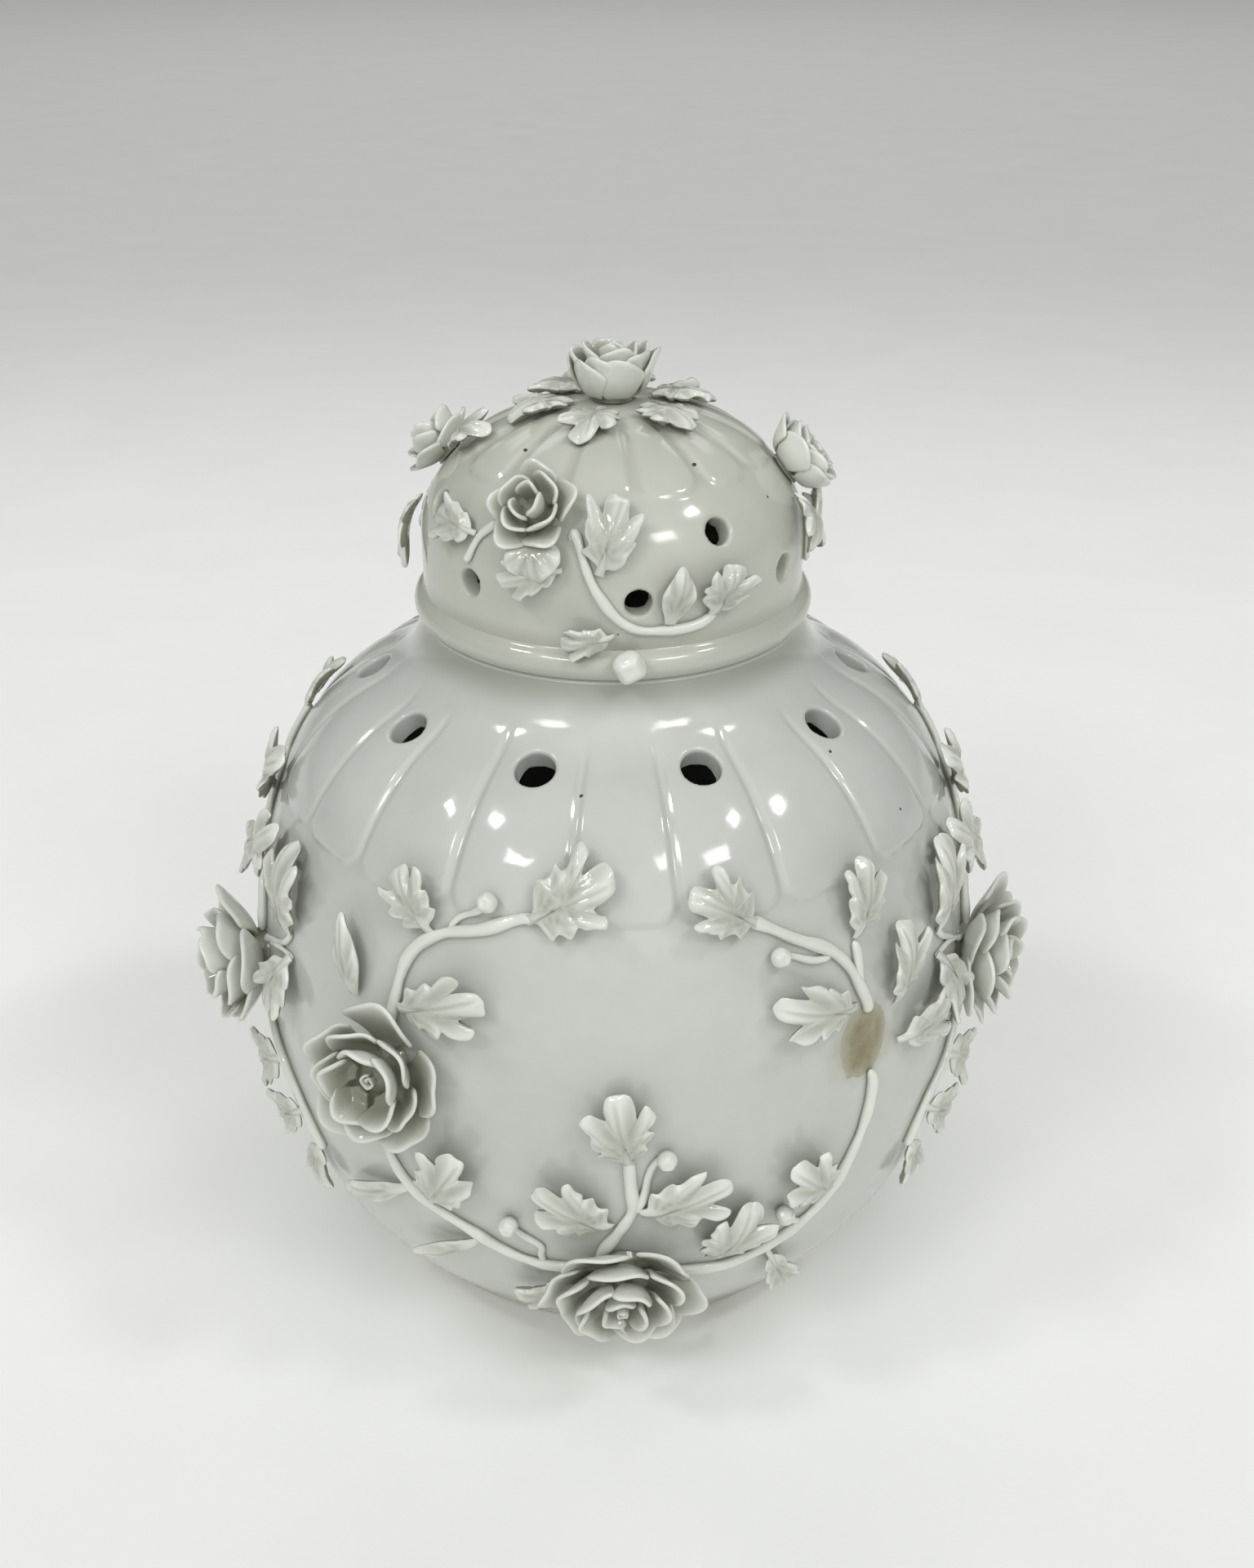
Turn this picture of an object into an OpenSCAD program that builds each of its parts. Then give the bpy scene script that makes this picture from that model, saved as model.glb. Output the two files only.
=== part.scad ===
// Potpourri vase: a pierced porcelain jar with a pierced domed cover,
// both dressed with hand-modelled roses, stems, leaves and buds.
// Millimetres. The foot stands on z = 0, the axis is Z and the front faces -Y.

/* [Body] */
// Widest diameter of the body
body_d = 180; // [165:1:200]
// Height of the widest place above the table
belly_z = 66; // [60:1:72]
// Height of the neck rim that the cover rests on
neck_z = 170; // [160:1:185]
// Outer diameter of the neck rim
neck_d = 90; // [88:1:94]
// Thickness of the body wall
body_wall = 4.5; // [3.5:0.5:6]
// Thickness of the floor
floor_t = 6; // [4:0.5:9]
// Outer diameter of the foot ring
foot_d = 125; // [115:1:135]
// Height of the foot ring
foot_h = 5; // [4:0.5:7]
// Width of the foot ring seen from below
foot_w = 9; // [6:0.5:14]

/* [Vents] */
// Vents round the shoulder
vent_count = 10; // [6:1:12]
// Diameter of a shoulder vent
vent_d = 9; // [6:0.5:11]
// Vents in the low row round the cover
lid_vent_count = 7; // [5:1:8]
// Diameter of a cover vent
lid_vent_d = 6; // [4:0.5:7]

/* [Cover] */
// Outer diameter of the upright wall of the cover
lid_d = 89; // [87:0.5:91]
// Thickness of the cover
lid_wall = 4.5; // [4:0.25:5]
// Height of the upright wall, bead included
lid_wall_h = 19; // [16:1:24]
// Height of the dome above the upright wall
dome_h = 30; // [26:1:36]
// How far the bead stands out from the wall of the cover
bead_out = 2.2; // [1.5:0.1:3]
// Height of the bead
bead_h = 7.5; // [6:0.5:9]
// Depth of the locating ring below the rim
flange_h = 9; // [6:0.5:14]
// Thickness of the locating ring
flange_t = 3.5; // [2.5:0.5:5]
// Gap between the locating ring and the mouth, all round
flange_gap = 0.6; // [0.4:0.1:1]

/* [Flowers] */
// Diameter of a rose on the body
rose_d = 37; // [32:1:40]
// Height of a rose on the body
rose_h = 16; // [13:0.5:19]
// Diameter of a rose on the cover
lid_rose_d = 21; // [18:0.5:23]
// Height of a rose on the cover
lid_rose_h = 10; // [8:0.5:12]
// Diameter of the rose that serves as the knob
knob_d = 23; // [20:0.5:26]
// Height of the rose that serves as the knob
knob_h = 13; // [11:0.5:16]

/* [Sprays] */
// Width of a stem on the body
stem_w = 3; // [2.4:0.1:3.4]
// Thickness of a leaf
leaf_t = 1.3; // [1:0.1:1.6]
// Diameter of a bud
bud_d = 4.6; // [4:0.2:5.2]

/* [Hidden] */
$fn = 96;
glaze = [0.86, 0.87, 0.83];
shade = [0.80, 0.81, 0.76];
// Luted pieces sit this far off the wall that carries them
seat = 0.15;

// Body outline: an ellipse below the widest place, a squarer cubic curve above it
// and a hollow curve that runs up to the neck.
belly_r = body_d / 2;
low_b = (belly_z - foot_h) / sqrt(1 - pow((foot_d / 2 + 2.5) / belly_r, 2));
up_b = (neck_z - belly_z) * 0.93;
turn_in = 0.64;
turn_up = pow(1 - pow(turn_in, 3), 1 / 3);
flare_p = [belly_r * turn_in, belly_z + up_b * turn_up];
flare_n = unit([1, pow(turn_up / turn_in, 2) * belly_r / up_b]);
flare_d = [neck_d / 2, neck_z] - flare_p;
flare_r = flare_d * flare_d / (2 * flare_n * flare_d);
flare_c = flare_p + flare_r * flare_n;

// Heights of the luted seams: above the floor, under the shoulder and under the dome
heel_z = foot_h + floor_t + 9;
shoulder_z = 133 * neck_z / 170;
collar_z = neck_z + lid_wall_h + 0.2 * dome_h;

// Cover outline
lid_r = lid_d / 2;
lid_in = lid_r - lid_wall;
lid_top = neck_z + lid_wall_h;
high_vents = [33, 136, 219, 291];
// The back of the cover repeats its front, this far round
lid_back = 206;
ring_r = lid_in - seat;
mouth_r = ring_r + flange_gap;

function unit(v) = v / norm(v);

function body_r(z) =
    z < belly_z ? belly_r * sqrt(1 - pow((belly_z - z) / low_b, 2))
    : z < flare_p[1] ? belly_r * pow(1 - pow((z - belly_z) / up_b, 3), 1 / 3)
    : flare_c[0] - sqrt(max(0, flare_r * flare_r - pow(flare_c[1] - z, 2)));

// Layout heights are given for a body 170 mm to the rim and stretch with it
function tall(z) = z * neck_z / 170;

// A place on the body: azimuth (0 is the front, positive to the right), layout height, lift
vase_at = function(az, z, h)
    let(
        y = tall(z),
        s = body_r(y + 0.5) - body_r(y - 0.5),
        c = 1 / sqrt(1 + s * s),
        r = body_r(y) + h * c
    )
    [r * sin(az), -r * cos(az), y - h * s * c];

// A place on the cover: azimuth, degrees up the dome (below zero is the wall), lift
lid_at = function(az, e, h)
    let(
        up = max(0, e),
        n = unit([cos(up) / lid_r, sin(up) / dome_h]),
        r = lid_r * cos(up) + h * n[0],
        z = lid_top + dome_h * sin(up) + min(0, e) * lid_r * PI / 180 + h * n[1]
    )
    [r * sin(az), -r * cos(az), z];

// Layout units for one millimetre across and up a surface
function across(at, az, t) = 1 / norm(at(az + 0.5, t, 0) - at(az - 0.5, t, 0));
function along(at, az, t) = 1 / norm(at(az, t + 0.5, 0) - at(az, t - 0.5, 0));

// The place s mm from p in the direction dir (0 is up, 90 is right) and x mm to its right
function walk(at, p, dir, s, x) =
    let(t = p[1] + (s * cos(dir) - x * sin(dir)) * along(at, p[0], p[1]))
    [p[0] + (s * sin(dir) + x * cos(dir)) * across(at, p[0], t), t];

// A smooth path through the given places, with a step halfway between each pair
function smooth(p) =
    let(n = len(p) - 1)
    [
        for (i = [0 : n - 1], k = [0, 1])
            let(
                a = p[max(0, i - 1)],
                b = p[i],
                c = p[i + 1],
                d = p[min(n, i + 2)],
                u = k / 2
            )
            b + u / 2 * (c - a + u * (2 * a - 5 * b + 4 * c - d + u * (3 * (b - c) + d - a))),
        p[n]
    ];

// A closed solid through a row of rings that all have the same number of points
module skin(rings) {
    m = len(rings[0]);
    n = len(rings);
    sides = [
        for (i = [0 : n - 2], j = [0 : m - 1])
            let(a = i * m + j, b = i * m + (j + 1) % m)
            each [[a, a + m, b], [b, a + m, b + m]]
    ];
    first = [for (j = [0 : m - 1]) j];
    last = [for (j = [m - 1 : -1 : 0]) (n - 1) * m + j];
    polyhedron([for (r = rings) each r], concat(sides, [first, last]));
}

// Carries its child to a place on a surface, facing straight out of it
module on(at, p, turn = 0) {
    o = at(p[0], p[1], seat);
    x = unit(at(p[0] + 0.5, p[1], 0) - at(p[0] - 0.5, p[1], 0));
    z = at(p[0], p[1], 1) - at(p[0], p[1], 0);
    y = cross(z, x);
    multmatrix([
        [x[0], y[0], z[0], o[0]],
        [x[1], y[1], z[1], o[1]],
        [x[2], y[2], z[2], o[2]],
        [0, 0, 0, 1]
    ])
        rotate(turn)
            children();
}

// A rolled stem laid along a path: half round, flat where it is luted down
module stem(at, path, w) {
    p = smooth(path);
    n = len(p) - 1;
    skin([
        for (i = [0 : n])
            let(
                o = at(p[i][0], p[i][1], 0),
                a = p[max(0, i - 1)],
                b = p[min(n, i + 1)],
                up = at(p[i][0], p[i][1], 1) - o,
                side = unit(cross(at(b[0], b[1], 0) - at(a[0], a[1], 0), up)),
                k = i == 0 || i == n ? 0.6 * w : w
            )
            [
                for (q = [[-0.5, 0], [-0.42, 0.5], [0, 0.8], [0.42, 0.5], [0.5, 0]])
                    o + q[0] * k * side + (q[1] * k + seat) * up
            ]
    ]);
}

// Leaf outline: how far along, and half width as a share of the width
LEAF = [[0, 0.07], [0.2, 0.08], [0.3, 0.36], [0.46, 0.5], [0.56, 0.3], [0.76, 0.36], [1, 0.08]];
BLADE = [[0, 0.2], [0.25, 0.38], [0.55, 0.5], [0.8, 0.34], [1, 0.08]];

// A leaf rooted beside a stem: it lies down at its stalk and lifts towards the tip
module leaf(at, p, dir, size, wide, lift = 2.5, form = LEAF) {
    root = 0.5 * stem_w + 0.5;
    skin([
        for (f = form)
            let(
                s = root + f[0] * (size - root),
                x = f[1] * wide,
                h = seat + lift * f[0] * f[0],
                e = 0.22 * x * f[0],
                l = walk(at, p, dir, s, -x),
                m = walk(at, p, dir, s, 0),
                r = walk(at, p, dir, s, x)
            )
            [
                at(l[0], l[1], h + e),
                at(l[0], l[1], h + e + leaf_t),
                at(m[0], m[1], h + leaf_t),
                at(r[0], r[1], h + e + leaf_t),
                at(r[0], r[1], h + e),
                at(m[0], m[1], h)
            ]
    ]);
}

// One petal about the Z axis: it rises from foot to tip, both [radius, height], as part of a bowl.
// One edge lies further out than the other, so that each petal overlaps its neighbour.
module petal(turn, foot, tip, half, t, wide, high) {
    skin([
        for (i = [0 : high])
            let(
                v = i / high,
                w = half * (0.45 + 0.85 * v - 0.3 * v * v),
                r = foot[0] + (tip[0] - foot[0]) * pow(v, 0.8),
                z = foot[1] + (tip[1] - foot[1]) * pow(v, 1.5)
            )
            [
                for (j = [0 : 2 * wide + 1])
                    let(
                        face = j <= wide ? 0 : t,
                        u = 2 * (j <= wide ? j : 2 * wide + 1 - j) / wide - 1,
                        a = turn + u * w,
                        k = (1 + 0.1 * u * v - 0.06 * u * u * v) * (r - 0.8 * face)
                    )
                    [k * cos(a), k * sin(a), z + 0.6 * face - 0.14 * tip[1] * u * u * v]
            ]
    ]);
}

// An open rose, modelled 37 across and 16 high and brought to its own size.
// Three rows of petals stand on a tapered base, and none cuts into its neighbours.
module rose(d, h, wide, high) {
    resize([d, d, h])
        union() {
            cylinder(h = 8.6, r1 = 6.6, r2 = 3.6, $fn = 7);
            for (i = [0 : 4])
                petal(72 * i, [4.4, 1.3], [18.5, 10], 38, 1.5, wide, high);
            for (i = [0 : 4])
                petal(72 * i + 37, [4.2, 3.6], [12.5, 14], 38, 1.4, wide, 2);
            for (i = [0 : 2])
                petal(120 * i + 15, [3.2, 6], [7, 16], 55, 1.3, wide, 2);
        }
}

module bud(at, p, k = 1) {
    d = k * bud_d;
    o = at(p[0], p[1], d / 2 + seat);
    translate(o)
        sphere(d = d);
}

// The jar

// What lies between two heights of a turned piece
module between(low, high) {
    intersection() {
        children();
        translate([0, 0, low])
            cylinder(h = high - low, r = body_d);
    }
}

// The whole wall, thrown in four sections that are luted together
module vase_wall() {
    n = 18;
    low = [for (i = [0 : n]) foot_h + (belly_z - foot_h) * i / n];
    high = [for (i = [1 : n]) belly_z + (flare_p[1] - belly_z) * sin(90 * i / n)];
    flare = [for (i = [1 : 7]) flare_p[1] + (neck_z - flare_p[1]) * i / 7];
    z_out = concat(low, high, flare);
    inner = [
        for (z = z_out)
            let(s = body_r(z + 0.2) - body_r(z - 0.2), q = unit([1, -s / 0.4]))
            [body_r(z), z] - body_wall * q
    ];
    floor_z = foot_h + floor_t;
    hollow = [for (q = inner) if (q[1] > floor_z + 3 && q[1] < neck_z - 3) q];
    outline = concat(
        [[0, foot_h]],
        [for (z = z_out) [body_r(z), z]],
        [[mouth_r, neck_z], [mouth_r, neck_z - 3]],
        [for (i = [len(hollow) - 1 : -1 : 0]) [max(mouth_r, hollow[i][0]), hollow[i][1]]],
        [[hollow[0][0] - 4, floor_z], [0, floor_z]]
    );
    rotate_extrude()
        polygon(outline);
}

module vase_floor() {
    color(glaze)
        between(0, heel_z)
            vase_wall();
}

module vase_bowl() {
    color(glaze)
        between(heel_z, belly_z)
            vase_wall();
}

module vase_belly() {
    color(glaze)
        between(belly_z, shoulder_z)
            vase_wall();
}

module vase_shoulder() {
    color(glaze)
        difference() {
            between(shoulder_z, neck_z + 1)
                vase_wall();
            for (i = [0 : vent_count - 1])
                rotate(360 / vent_count * (i + 0.5) + 1)
                    translate([0, -flare_p[0], flare_p[1]])
                        rotate([atan2(flare_n[0], flare_n[1]), 0, 0])
                            cylinder(h = 5 * body_wall, d = vent_d, center = true, $fn = 40);
        }
}

module foot_ring() {
    color(shade)
        rotate_extrude()
            polygon([
                [foot_d / 2 - foot_w, 0],
                [foot_d / 2 - 1, 0],
                [foot_d / 2, 1],
                [foot_d / 2, foot_h],
                [foot_d / 2 - foot_w, foot_h]
            ]);
}

// The bare patch where the rose at the front right is lost
module rose_scar() {
    color([0.72, 0.68, 0.55])
        on(vase_at, [37, 93])
            linear_extrude(0.6)
                polygon([[-5, -8], [3, -9], [6, -3], [6, 5], [2, 9], [-4, 8], [-7, 1]]);
}

module rose_front_left() {
    color(glaze)
        on(vase_at, [-34, 90], 10)
            rose(rose_d, rose_h, 3, 3);
}

module rose_front_low() {
    color(glaze)
        on(vase_at, [1, 41], 55)
            rose(rose_d + 2, rose_h, 3, 3);
}

module rose_side_left() {
    color(glaze)
        on(vase_at, [-74, 87], 30)
            rose(rose_d, rose_h + 2, 3, 3);
}

module rose_side_right() {
    color(glaze)
        on(vase_at, [73, 89], 70)
            rose(rose_d, rose_h, 3, 3);
}

module rose_back_left() {
    color(glaze)
        on(vase_at, [146, 90], 40)
            rose(rose_d, rose_h, 3, 3);
}

module rose_back_right() {
    color(glaze)
        on(vase_at, [217, 92], 25)
            rose(rose_d, rose_h, 3, 3);
}

module rose_back_low() {
    color(glaze)
        on(vase_at, [181, 41], 15)
            rose(rose_d, rose_h, 3, 3);
}

// The sprays. The back repeats the front, so each takes a turn round the axis.

module left_branch(turn) {
    color(shade)
        rotate(turn) {
            stem(vase_at, [[-34, 101], [-31, 117], [-26, 125], [-19, 128], [-14, 130]], stem_w);
            stem(vase_at, [[-23.5, 128.5], [-21, 130.5]], 0.6 * stem_w);
        }
}

module left_branch_leaves(turn) {
    color(glaze)
        rotate(turn) {
            leaf(vase_at, [-13.5, 130], 66, 20, 15);
            leaf(vase_at, [-27.5, 124], -38, 15, 10, 3);
            leaf(vase_at, [-32.5, 106], 68, 24, 14, 3);
            leaf(vase_at, [-40, 104], -12, 19, 7, 2, BLADE);
        }
}

module left_garland(turn) {
    color(shade)
        rotate(turn) {
            stem(vase_at, [[-35, 80], [-35, 66], [-29, 56], [-19, 47], [-12, 43], [-8, 42]], stem_w);
            stem(vase_at, [[-11, 45.5], [-11, 49], [-14.5, 53]], 0.6 * stem_w);
        }
}

module left_garland_leaves(turn) {
    color(glaze)
        rotate(turn) {
            leaf(vase_at, [-28, 55], 30, 23, 13, 3);
            leaf(vase_at, [-31, 58], -112, 25, 6, 2, BLADE);
            leaf(vase_at, [-20.5, 47], -120, 20, 5, 2, BLADE);
            leaf(vase_at, [-7, 36], -108, 14, 9, 3);
        }
}

module sprig(turn) {
    color(shade)
        rotate(turn) {
            stem(vase_at, [[0.5, 52], [1, 60], [2, 67], [2, 74]], stem_w);
            stem(vase_at, [[3.5, 71], [5.5, 74.5]], 0.6 * stem_w);
        }
}

module sprig_leaves(turn) {
    color(glaze)
        rotate(turn) {
            leaf(vase_at, [2, 74.5], -10, 21, 15);
            leaf(vase_at, [0.5, 59], -58, 21, 14);
            leaf(vase_at, [1.5, 61], 68, 21, 14);
            leaf(vase_at, [14, 43], 22, 21, 15, 3);
        }
}

module right_garland(turn) {
    color(shade)
        rotate(turn) {
            stem(vase_at, [[10, 40], [18, 39], [25, 42], [33, 53], [38, 65], [40, 80]], stem_w);
            stem(vase_at, [[27.5, 48.5], [26, 51]], 0.6 * stem_w);
        }
}

module right_garland_leaves(turn) {
    color(glaze)
        rotate(turn) {
            leaf(vase_at, [33.5, 55], -45, 20, 13, 3);
            leaf(vase_at, [24, 40], 155, 17, 9, 3);
        }
}

module right_branch(turn) {
    color(shade)
        rotate(turn) {
            stem(vase_at, [[39, 104], [35, 114], [31, 120], [25, 125.5], [22, 127.5]], stem_w);
            stem(vase_at, [[38, 112], [37.5, 118]], 0.8 * stem_w);
            stem(vase_at, [[30, 117.5], [26.5, 119.5]], 0.6 * stem_w);
        }
}

module right_branch_leaves(turn) {
    color(glaze)
        rotate(turn) {
            leaf(vase_at, [22, 127.5], -62, 17, 13);
            leaf(vase_at, [37, 103], -72, 24, 13, 3);
            leaf(vase_at, [37.5, 118], 18, 17, 11, 3);
            leaf(vase_at, [45, 98], 3, 20, 11, 3);
            leaf(vase_at, [45, 88], 80, 20, 12, 4);
        }
}

module front_left_branch() left_branch(0);
module front_left_branch_leaves() left_branch_leaves(0);
module front_left_garland() left_garland(0);
module front_left_garland_leaves() left_garland_leaves(0);
module front_sprig() sprig(0);
module front_sprig_leaves() sprig_leaves(0);
module front_right_garland() right_garland(0);
module front_right_garland_leaves() right_garland_leaves(0);
module front_right_branch() right_branch(0);
module front_right_branch_leaves() right_branch_leaves(0);
module back_left_branch() left_branch(180);
module back_left_branch_leaves() left_branch_leaves(180);
module back_left_garland() left_garland(180);
module back_left_garland_leaves() left_garland_leaves(180);
module back_sprig() sprig(180);
module back_sprig_leaves() sprig_leaves(180);
module back_right_garland() right_garland(180);
module back_right_garland_leaves() right_garland_leaves(180);
module back_right_branch() right_branch(180);
module back_right_branch_leaves() right_branch_leaves(180);

module side_stems(k) {
    color(shade) {
        stem(vase_at, [[74 * k, 103], [78 * k, 112], [86 * k, 119], [92 * k, 129], [95 * k, 137]], stem_w);
        stem(vase_at, [[70 * k, 74], [64 * k, 66], [57 * k, 60], [53 * k, 52]], stem_w);
    }
}

module side_leaves(k) {
    color(glaze) {
        leaf(vase_at, [58 * k, 106], 10 * k, 21, 14, 3);
        leaf(vase_at, [57 * k, 102], 160 * k, 17, 12, 3);
        leaf(vase_at, [76 * k, 110], -38 * k, 19, 13, 4);
        leaf(vase_at, [81.5 * k, 113.8], 138 * k, 17, 12, 6);
        leaf(vase_at, [88 * k, 122], -46 * k, 17, 12, 5);
        leaf(vase_at, [95 * k, 137.5], 12 * k, 17, 13, 6);
        leaf(vase_at, [64 * k, 66], 120 * k, 16, 11, 3);
        leaf(vase_at, [56.5 * k, 58], 122 * k, 15, 10, 3);
        leaf(vase_at, [53 * k, 52], 170 * k, 15, 9, 2);
    }
}

module side_left_stems() side_stems(-1);
module side_left_leaves() side_leaves(-1);
module side_right_stems() side_stems(1);
module side_right_leaves() side_leaves(1);

module face_buds(turn) {
    color(glaze)
        rotate(turn) {
            bud(vase_at, [-19, 132.5]);
            bud(vase_at, [-15.2, 56]);
            bud(vase_at, [7, 77]);
            bud(vase_at, [25, 53.7]);
            bud(vase_at, [24, 120.5]);
        }
}

module front_buds() face_buds(0);
module back_buds() face_buds(180);

// The cover

// The whole cover, thrown as a collar and a dome that are luted together
module cover_wall() {
    n = 14;
    dome = [for (i = [0 : n - 1]) 90 * i / n];
    bead = [for (i = [0 : 8]) 180 * i / 8 - 90];
    outline = concat(
        [[lid_in, neck_z]],
        [for (a = bead) [lid_r + 0.2 + bead_out * cos(a), neck_z + bead_h / 2 * (1 + sin(a))]],
        [[lid_r, neck_z + bead_h + 0.5]],
        [for (a = dome) [lid_r * cos(a), lid_top + dome_h * sin(a)]],
        [[0, lid_top + dome_h], [0, lid_top + dome_h - lid_wall]],
        [for (i = [n - 1 : -1 : 0]) [lid_in * cos(dome[i]), lid_top + (dome_h - lid_wall) * sin(dome[i])]]
    );
    rotate_extrude()
        polygon(outline);
}

module lid_collar() {
    color(glaze)
        difference() {
            between(neck_z - 1, collar_z)
                cover_wall();
            for (i = [0 : lid_vent_count - 1])
                lid_vent(360 / lid_vent_count * i + 7, -2);
        }
}

module lid_dome() {
    color(glaze)
        difference() {
            between(collar_z, lid_top + dome_h + 1)
                cover_wall();
            for (az = high_vents)
                lid_vent(az, 22);
        }
}

module lid_vent(az, e) {
    p = lid_at(0, e, 0);
    q = lid_at(0, e, 1) - p;
    rotate(az)
        translate(p)
            rotate([atan2(-q[1], q[2]), 0, 0])
                cylinder(h = 4 * lid_wall, d = lid_vent_d, center = true, $fn = 32);
}

module lid_flange() {
    color(shade)
        translate([0, 0, neck_z - flange_h])
            difference() {
                cylinder(h = flange_h + 6, r = ring_r);
                translate([0, 0, -1])
                    cylinder(h = flange_h + 8, r = ring_r - flange_t);
            }
}

module knob_rose() {
    color(glaze)
        translate([0, 0, lid_top + dome_h + seat])
            rose(knob_d, knob_h, 3, 3);
}

module knob_leaves() {
    color(glaze)
        for (i = [0 : 5])
            leaf(lid_at, [60 * i - 8, 81], 180, 16, 10, 3);
}

module lid_rose_front() {
    color(glaze)
        on(lid_at, [-24, 30], 20)
            rose(lid_rose_d, lid_rose_h, 2, 2);
}

module lid_rose_left() {
    color(glaze)
        on(lid_at, [-104, 30], 50)
            rose(lid_rose_d, lid_rose_h, 2, 2);
}

module lid_rose_right() {
    color(glaze)
        on(lid_at, [88, 28], 5)
            rose(lid_rose_d, lid_rose_h, 2, 2);
}

module lid_rose_back() {
    color(glaze)
        on(lid_at, [lid_back - 24, 30], 35)
            rose(lid_rose_d, lid_rose_h, 2, 2);
}

module lid_spray(turn) {
    color(shade)
        rotate(turn)
            stem(lid_at, [[-12, 26], [-8, 14], [-2, -1], [5, -9], [14, -10.5], [24, -9], [30, -5]], 0.8 * stem_w);
}

module lid_spray_leaves(turn) {
    color(glaze)
        rotate(turn) {
            leaf(lid_at, [-5, 8], 18, 15, 10, 2);
            leaf(lid_at, [16, -10], 8, 14, 6, 2, BLADE);
            leaf(lid_at, [30, -4], -5, 12, 9, 2);
            leaf(lid_at, [0, -5], -110, 11, 7, 2);
            leaf(lid_at, [-24, 16], 178, 11, 9, 2);
        }
}

module lid_front_stems() lid_spray(0);
module lid_front_leaves() lid_spray_leaves(0);
module lid_back_stems() lid_spray(lid_back);
module lid_back_leaves() lid_spray_leaves(lid_back);

module lid_left_stems() {
    color(shade)
        stem(lid_at, [[-37, 24], [-42, 18], [-45, 6]], 0.7 * stem_w);
}

module lid_left_leaves() {
    color(glaze) {
        leaf(lid_at, [-42, 18], -85, 13, 8, 2);
        leaf(lid_at, [-96, 14], 160, 13, 9, 4);
        leaf(lid_at, [-112, 14], -165, 12, 8, 3);
    }
}

module lid_right_stems() {
    color(shade)
        stem(lid_at, [[84, 14], [81, 4], [82, -8]], 0.7 * stem_w);
}

module lid_right_leaves() {
    color(glaze) {
        leaf(lid_at, [74, 20], -150, 12, 8, 2);
        leaf(lid_at, [83, 0], 70, 13, 9, 4);
    }
}

module lid_bud() {
    color(glaze)
        translate([0, 0, neck_z + 0.8 * bead_h])
            rotate(4)
                translate([0, -lid_r - bead_out - 0.55 * bud_d, 0])
                    sphere(d = bud_d);
}

vase_floor();
vase_bowl();
vase_belly();
vase_shoulder();
foot_ring();
rose_scar();
rose_front_left();
rose_front_low();
rose_side_left();
rose_side_right();
rose_back_left();
rose_back_right();
rose_back_low();
front_left_branch();
front_left_branch_leaves();
front_left_garland();
front_left_garland_leaves();
front_sprig();
front_sprig_leaves();
front_right_garland();
front_right_garland_leaves();
front_right_branch();
front_right_branch_leaves();
front_buds();
back_left_branch();
back_left_branch_leaves();
back_left_garland();
back_left_garland_leaves();
back_sprig();
back_sprig_leaves();
back_right_garland();
back_right_garland_leaves();
back_right_branch();
back_right_branch_leaves();
back_buds();
side_left_stems();
side_left_leaves();
side_right_stems();
side_right_leaves();
lid_collar();
lid_dome();
lid_flange();
knob_rose();
knob_leaves();
lid_rose_front();
lid_rose_left();
lid_rose_right();
lid_rose_back();
lid_front_stems();
lid_front_leaves();
lid_left_stems();
lid_left_leaves();
lid_right_stems();
lid_right_leaves();
lid_back_stems();
lid_back_leaves();
lid_bud();
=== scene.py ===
"""Potpourri vase in glazed white porcelain: fine shapes, finishes, light and camera over the CAD solids."""

import math
import random

import bpy
import numpy as np
from mathutils import Matrix, Vector


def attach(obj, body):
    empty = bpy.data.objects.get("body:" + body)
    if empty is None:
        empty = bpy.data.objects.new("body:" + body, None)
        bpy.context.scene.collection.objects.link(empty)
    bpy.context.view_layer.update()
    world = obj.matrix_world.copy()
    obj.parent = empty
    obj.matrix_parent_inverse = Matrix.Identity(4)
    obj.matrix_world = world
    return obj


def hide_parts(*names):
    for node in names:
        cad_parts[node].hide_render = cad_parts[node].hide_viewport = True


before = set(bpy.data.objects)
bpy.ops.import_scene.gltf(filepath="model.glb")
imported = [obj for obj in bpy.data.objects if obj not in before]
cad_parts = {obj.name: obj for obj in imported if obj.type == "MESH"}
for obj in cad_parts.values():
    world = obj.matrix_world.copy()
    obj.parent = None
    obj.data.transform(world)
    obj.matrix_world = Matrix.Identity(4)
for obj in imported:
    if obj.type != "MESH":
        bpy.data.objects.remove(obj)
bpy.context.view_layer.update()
scene = bpy.context.scene

# Layout and sizes are in millimetres, as in the part's source, and go to metres when a mesh is made
MM = 0.001
# Applied pieces sit this far off the wall that carries them
SEAT = 0.15
# Points round a turned piece
ROUND = 240
# A turned sheet that closes over the axis ends at this radius
AXIS_R = 0.05
# Random phases are drawn up to about a whole turn in radians
WHOLE_TURN = 6.3

# The jar
BELLY_R = 90.0
BELLY_Z = 66.0
NECK_Z = 170.0
NECK_R = 45.0
WALL = 4.5
FLOOR_Z = 11.0
FOOT_R = 62.5
FOOT_H = 5.0
FOOT_W = 9.0
VENTS = 10
VENT_TURN = 1
VENT_R = 4.5
# A vent moves only points this near to its middle along its axis
VENT_REACH = 8.0
# Half heights of the curves below and above the belly
LOW_B = (BELLY_Z - FOOT_H) / math.sqrt(1 - ((FOOT_R + 2.5) / BELLY_R) ** 2)
UP_B = (NECK_Z - BELLY_Z) * 0.93
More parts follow.
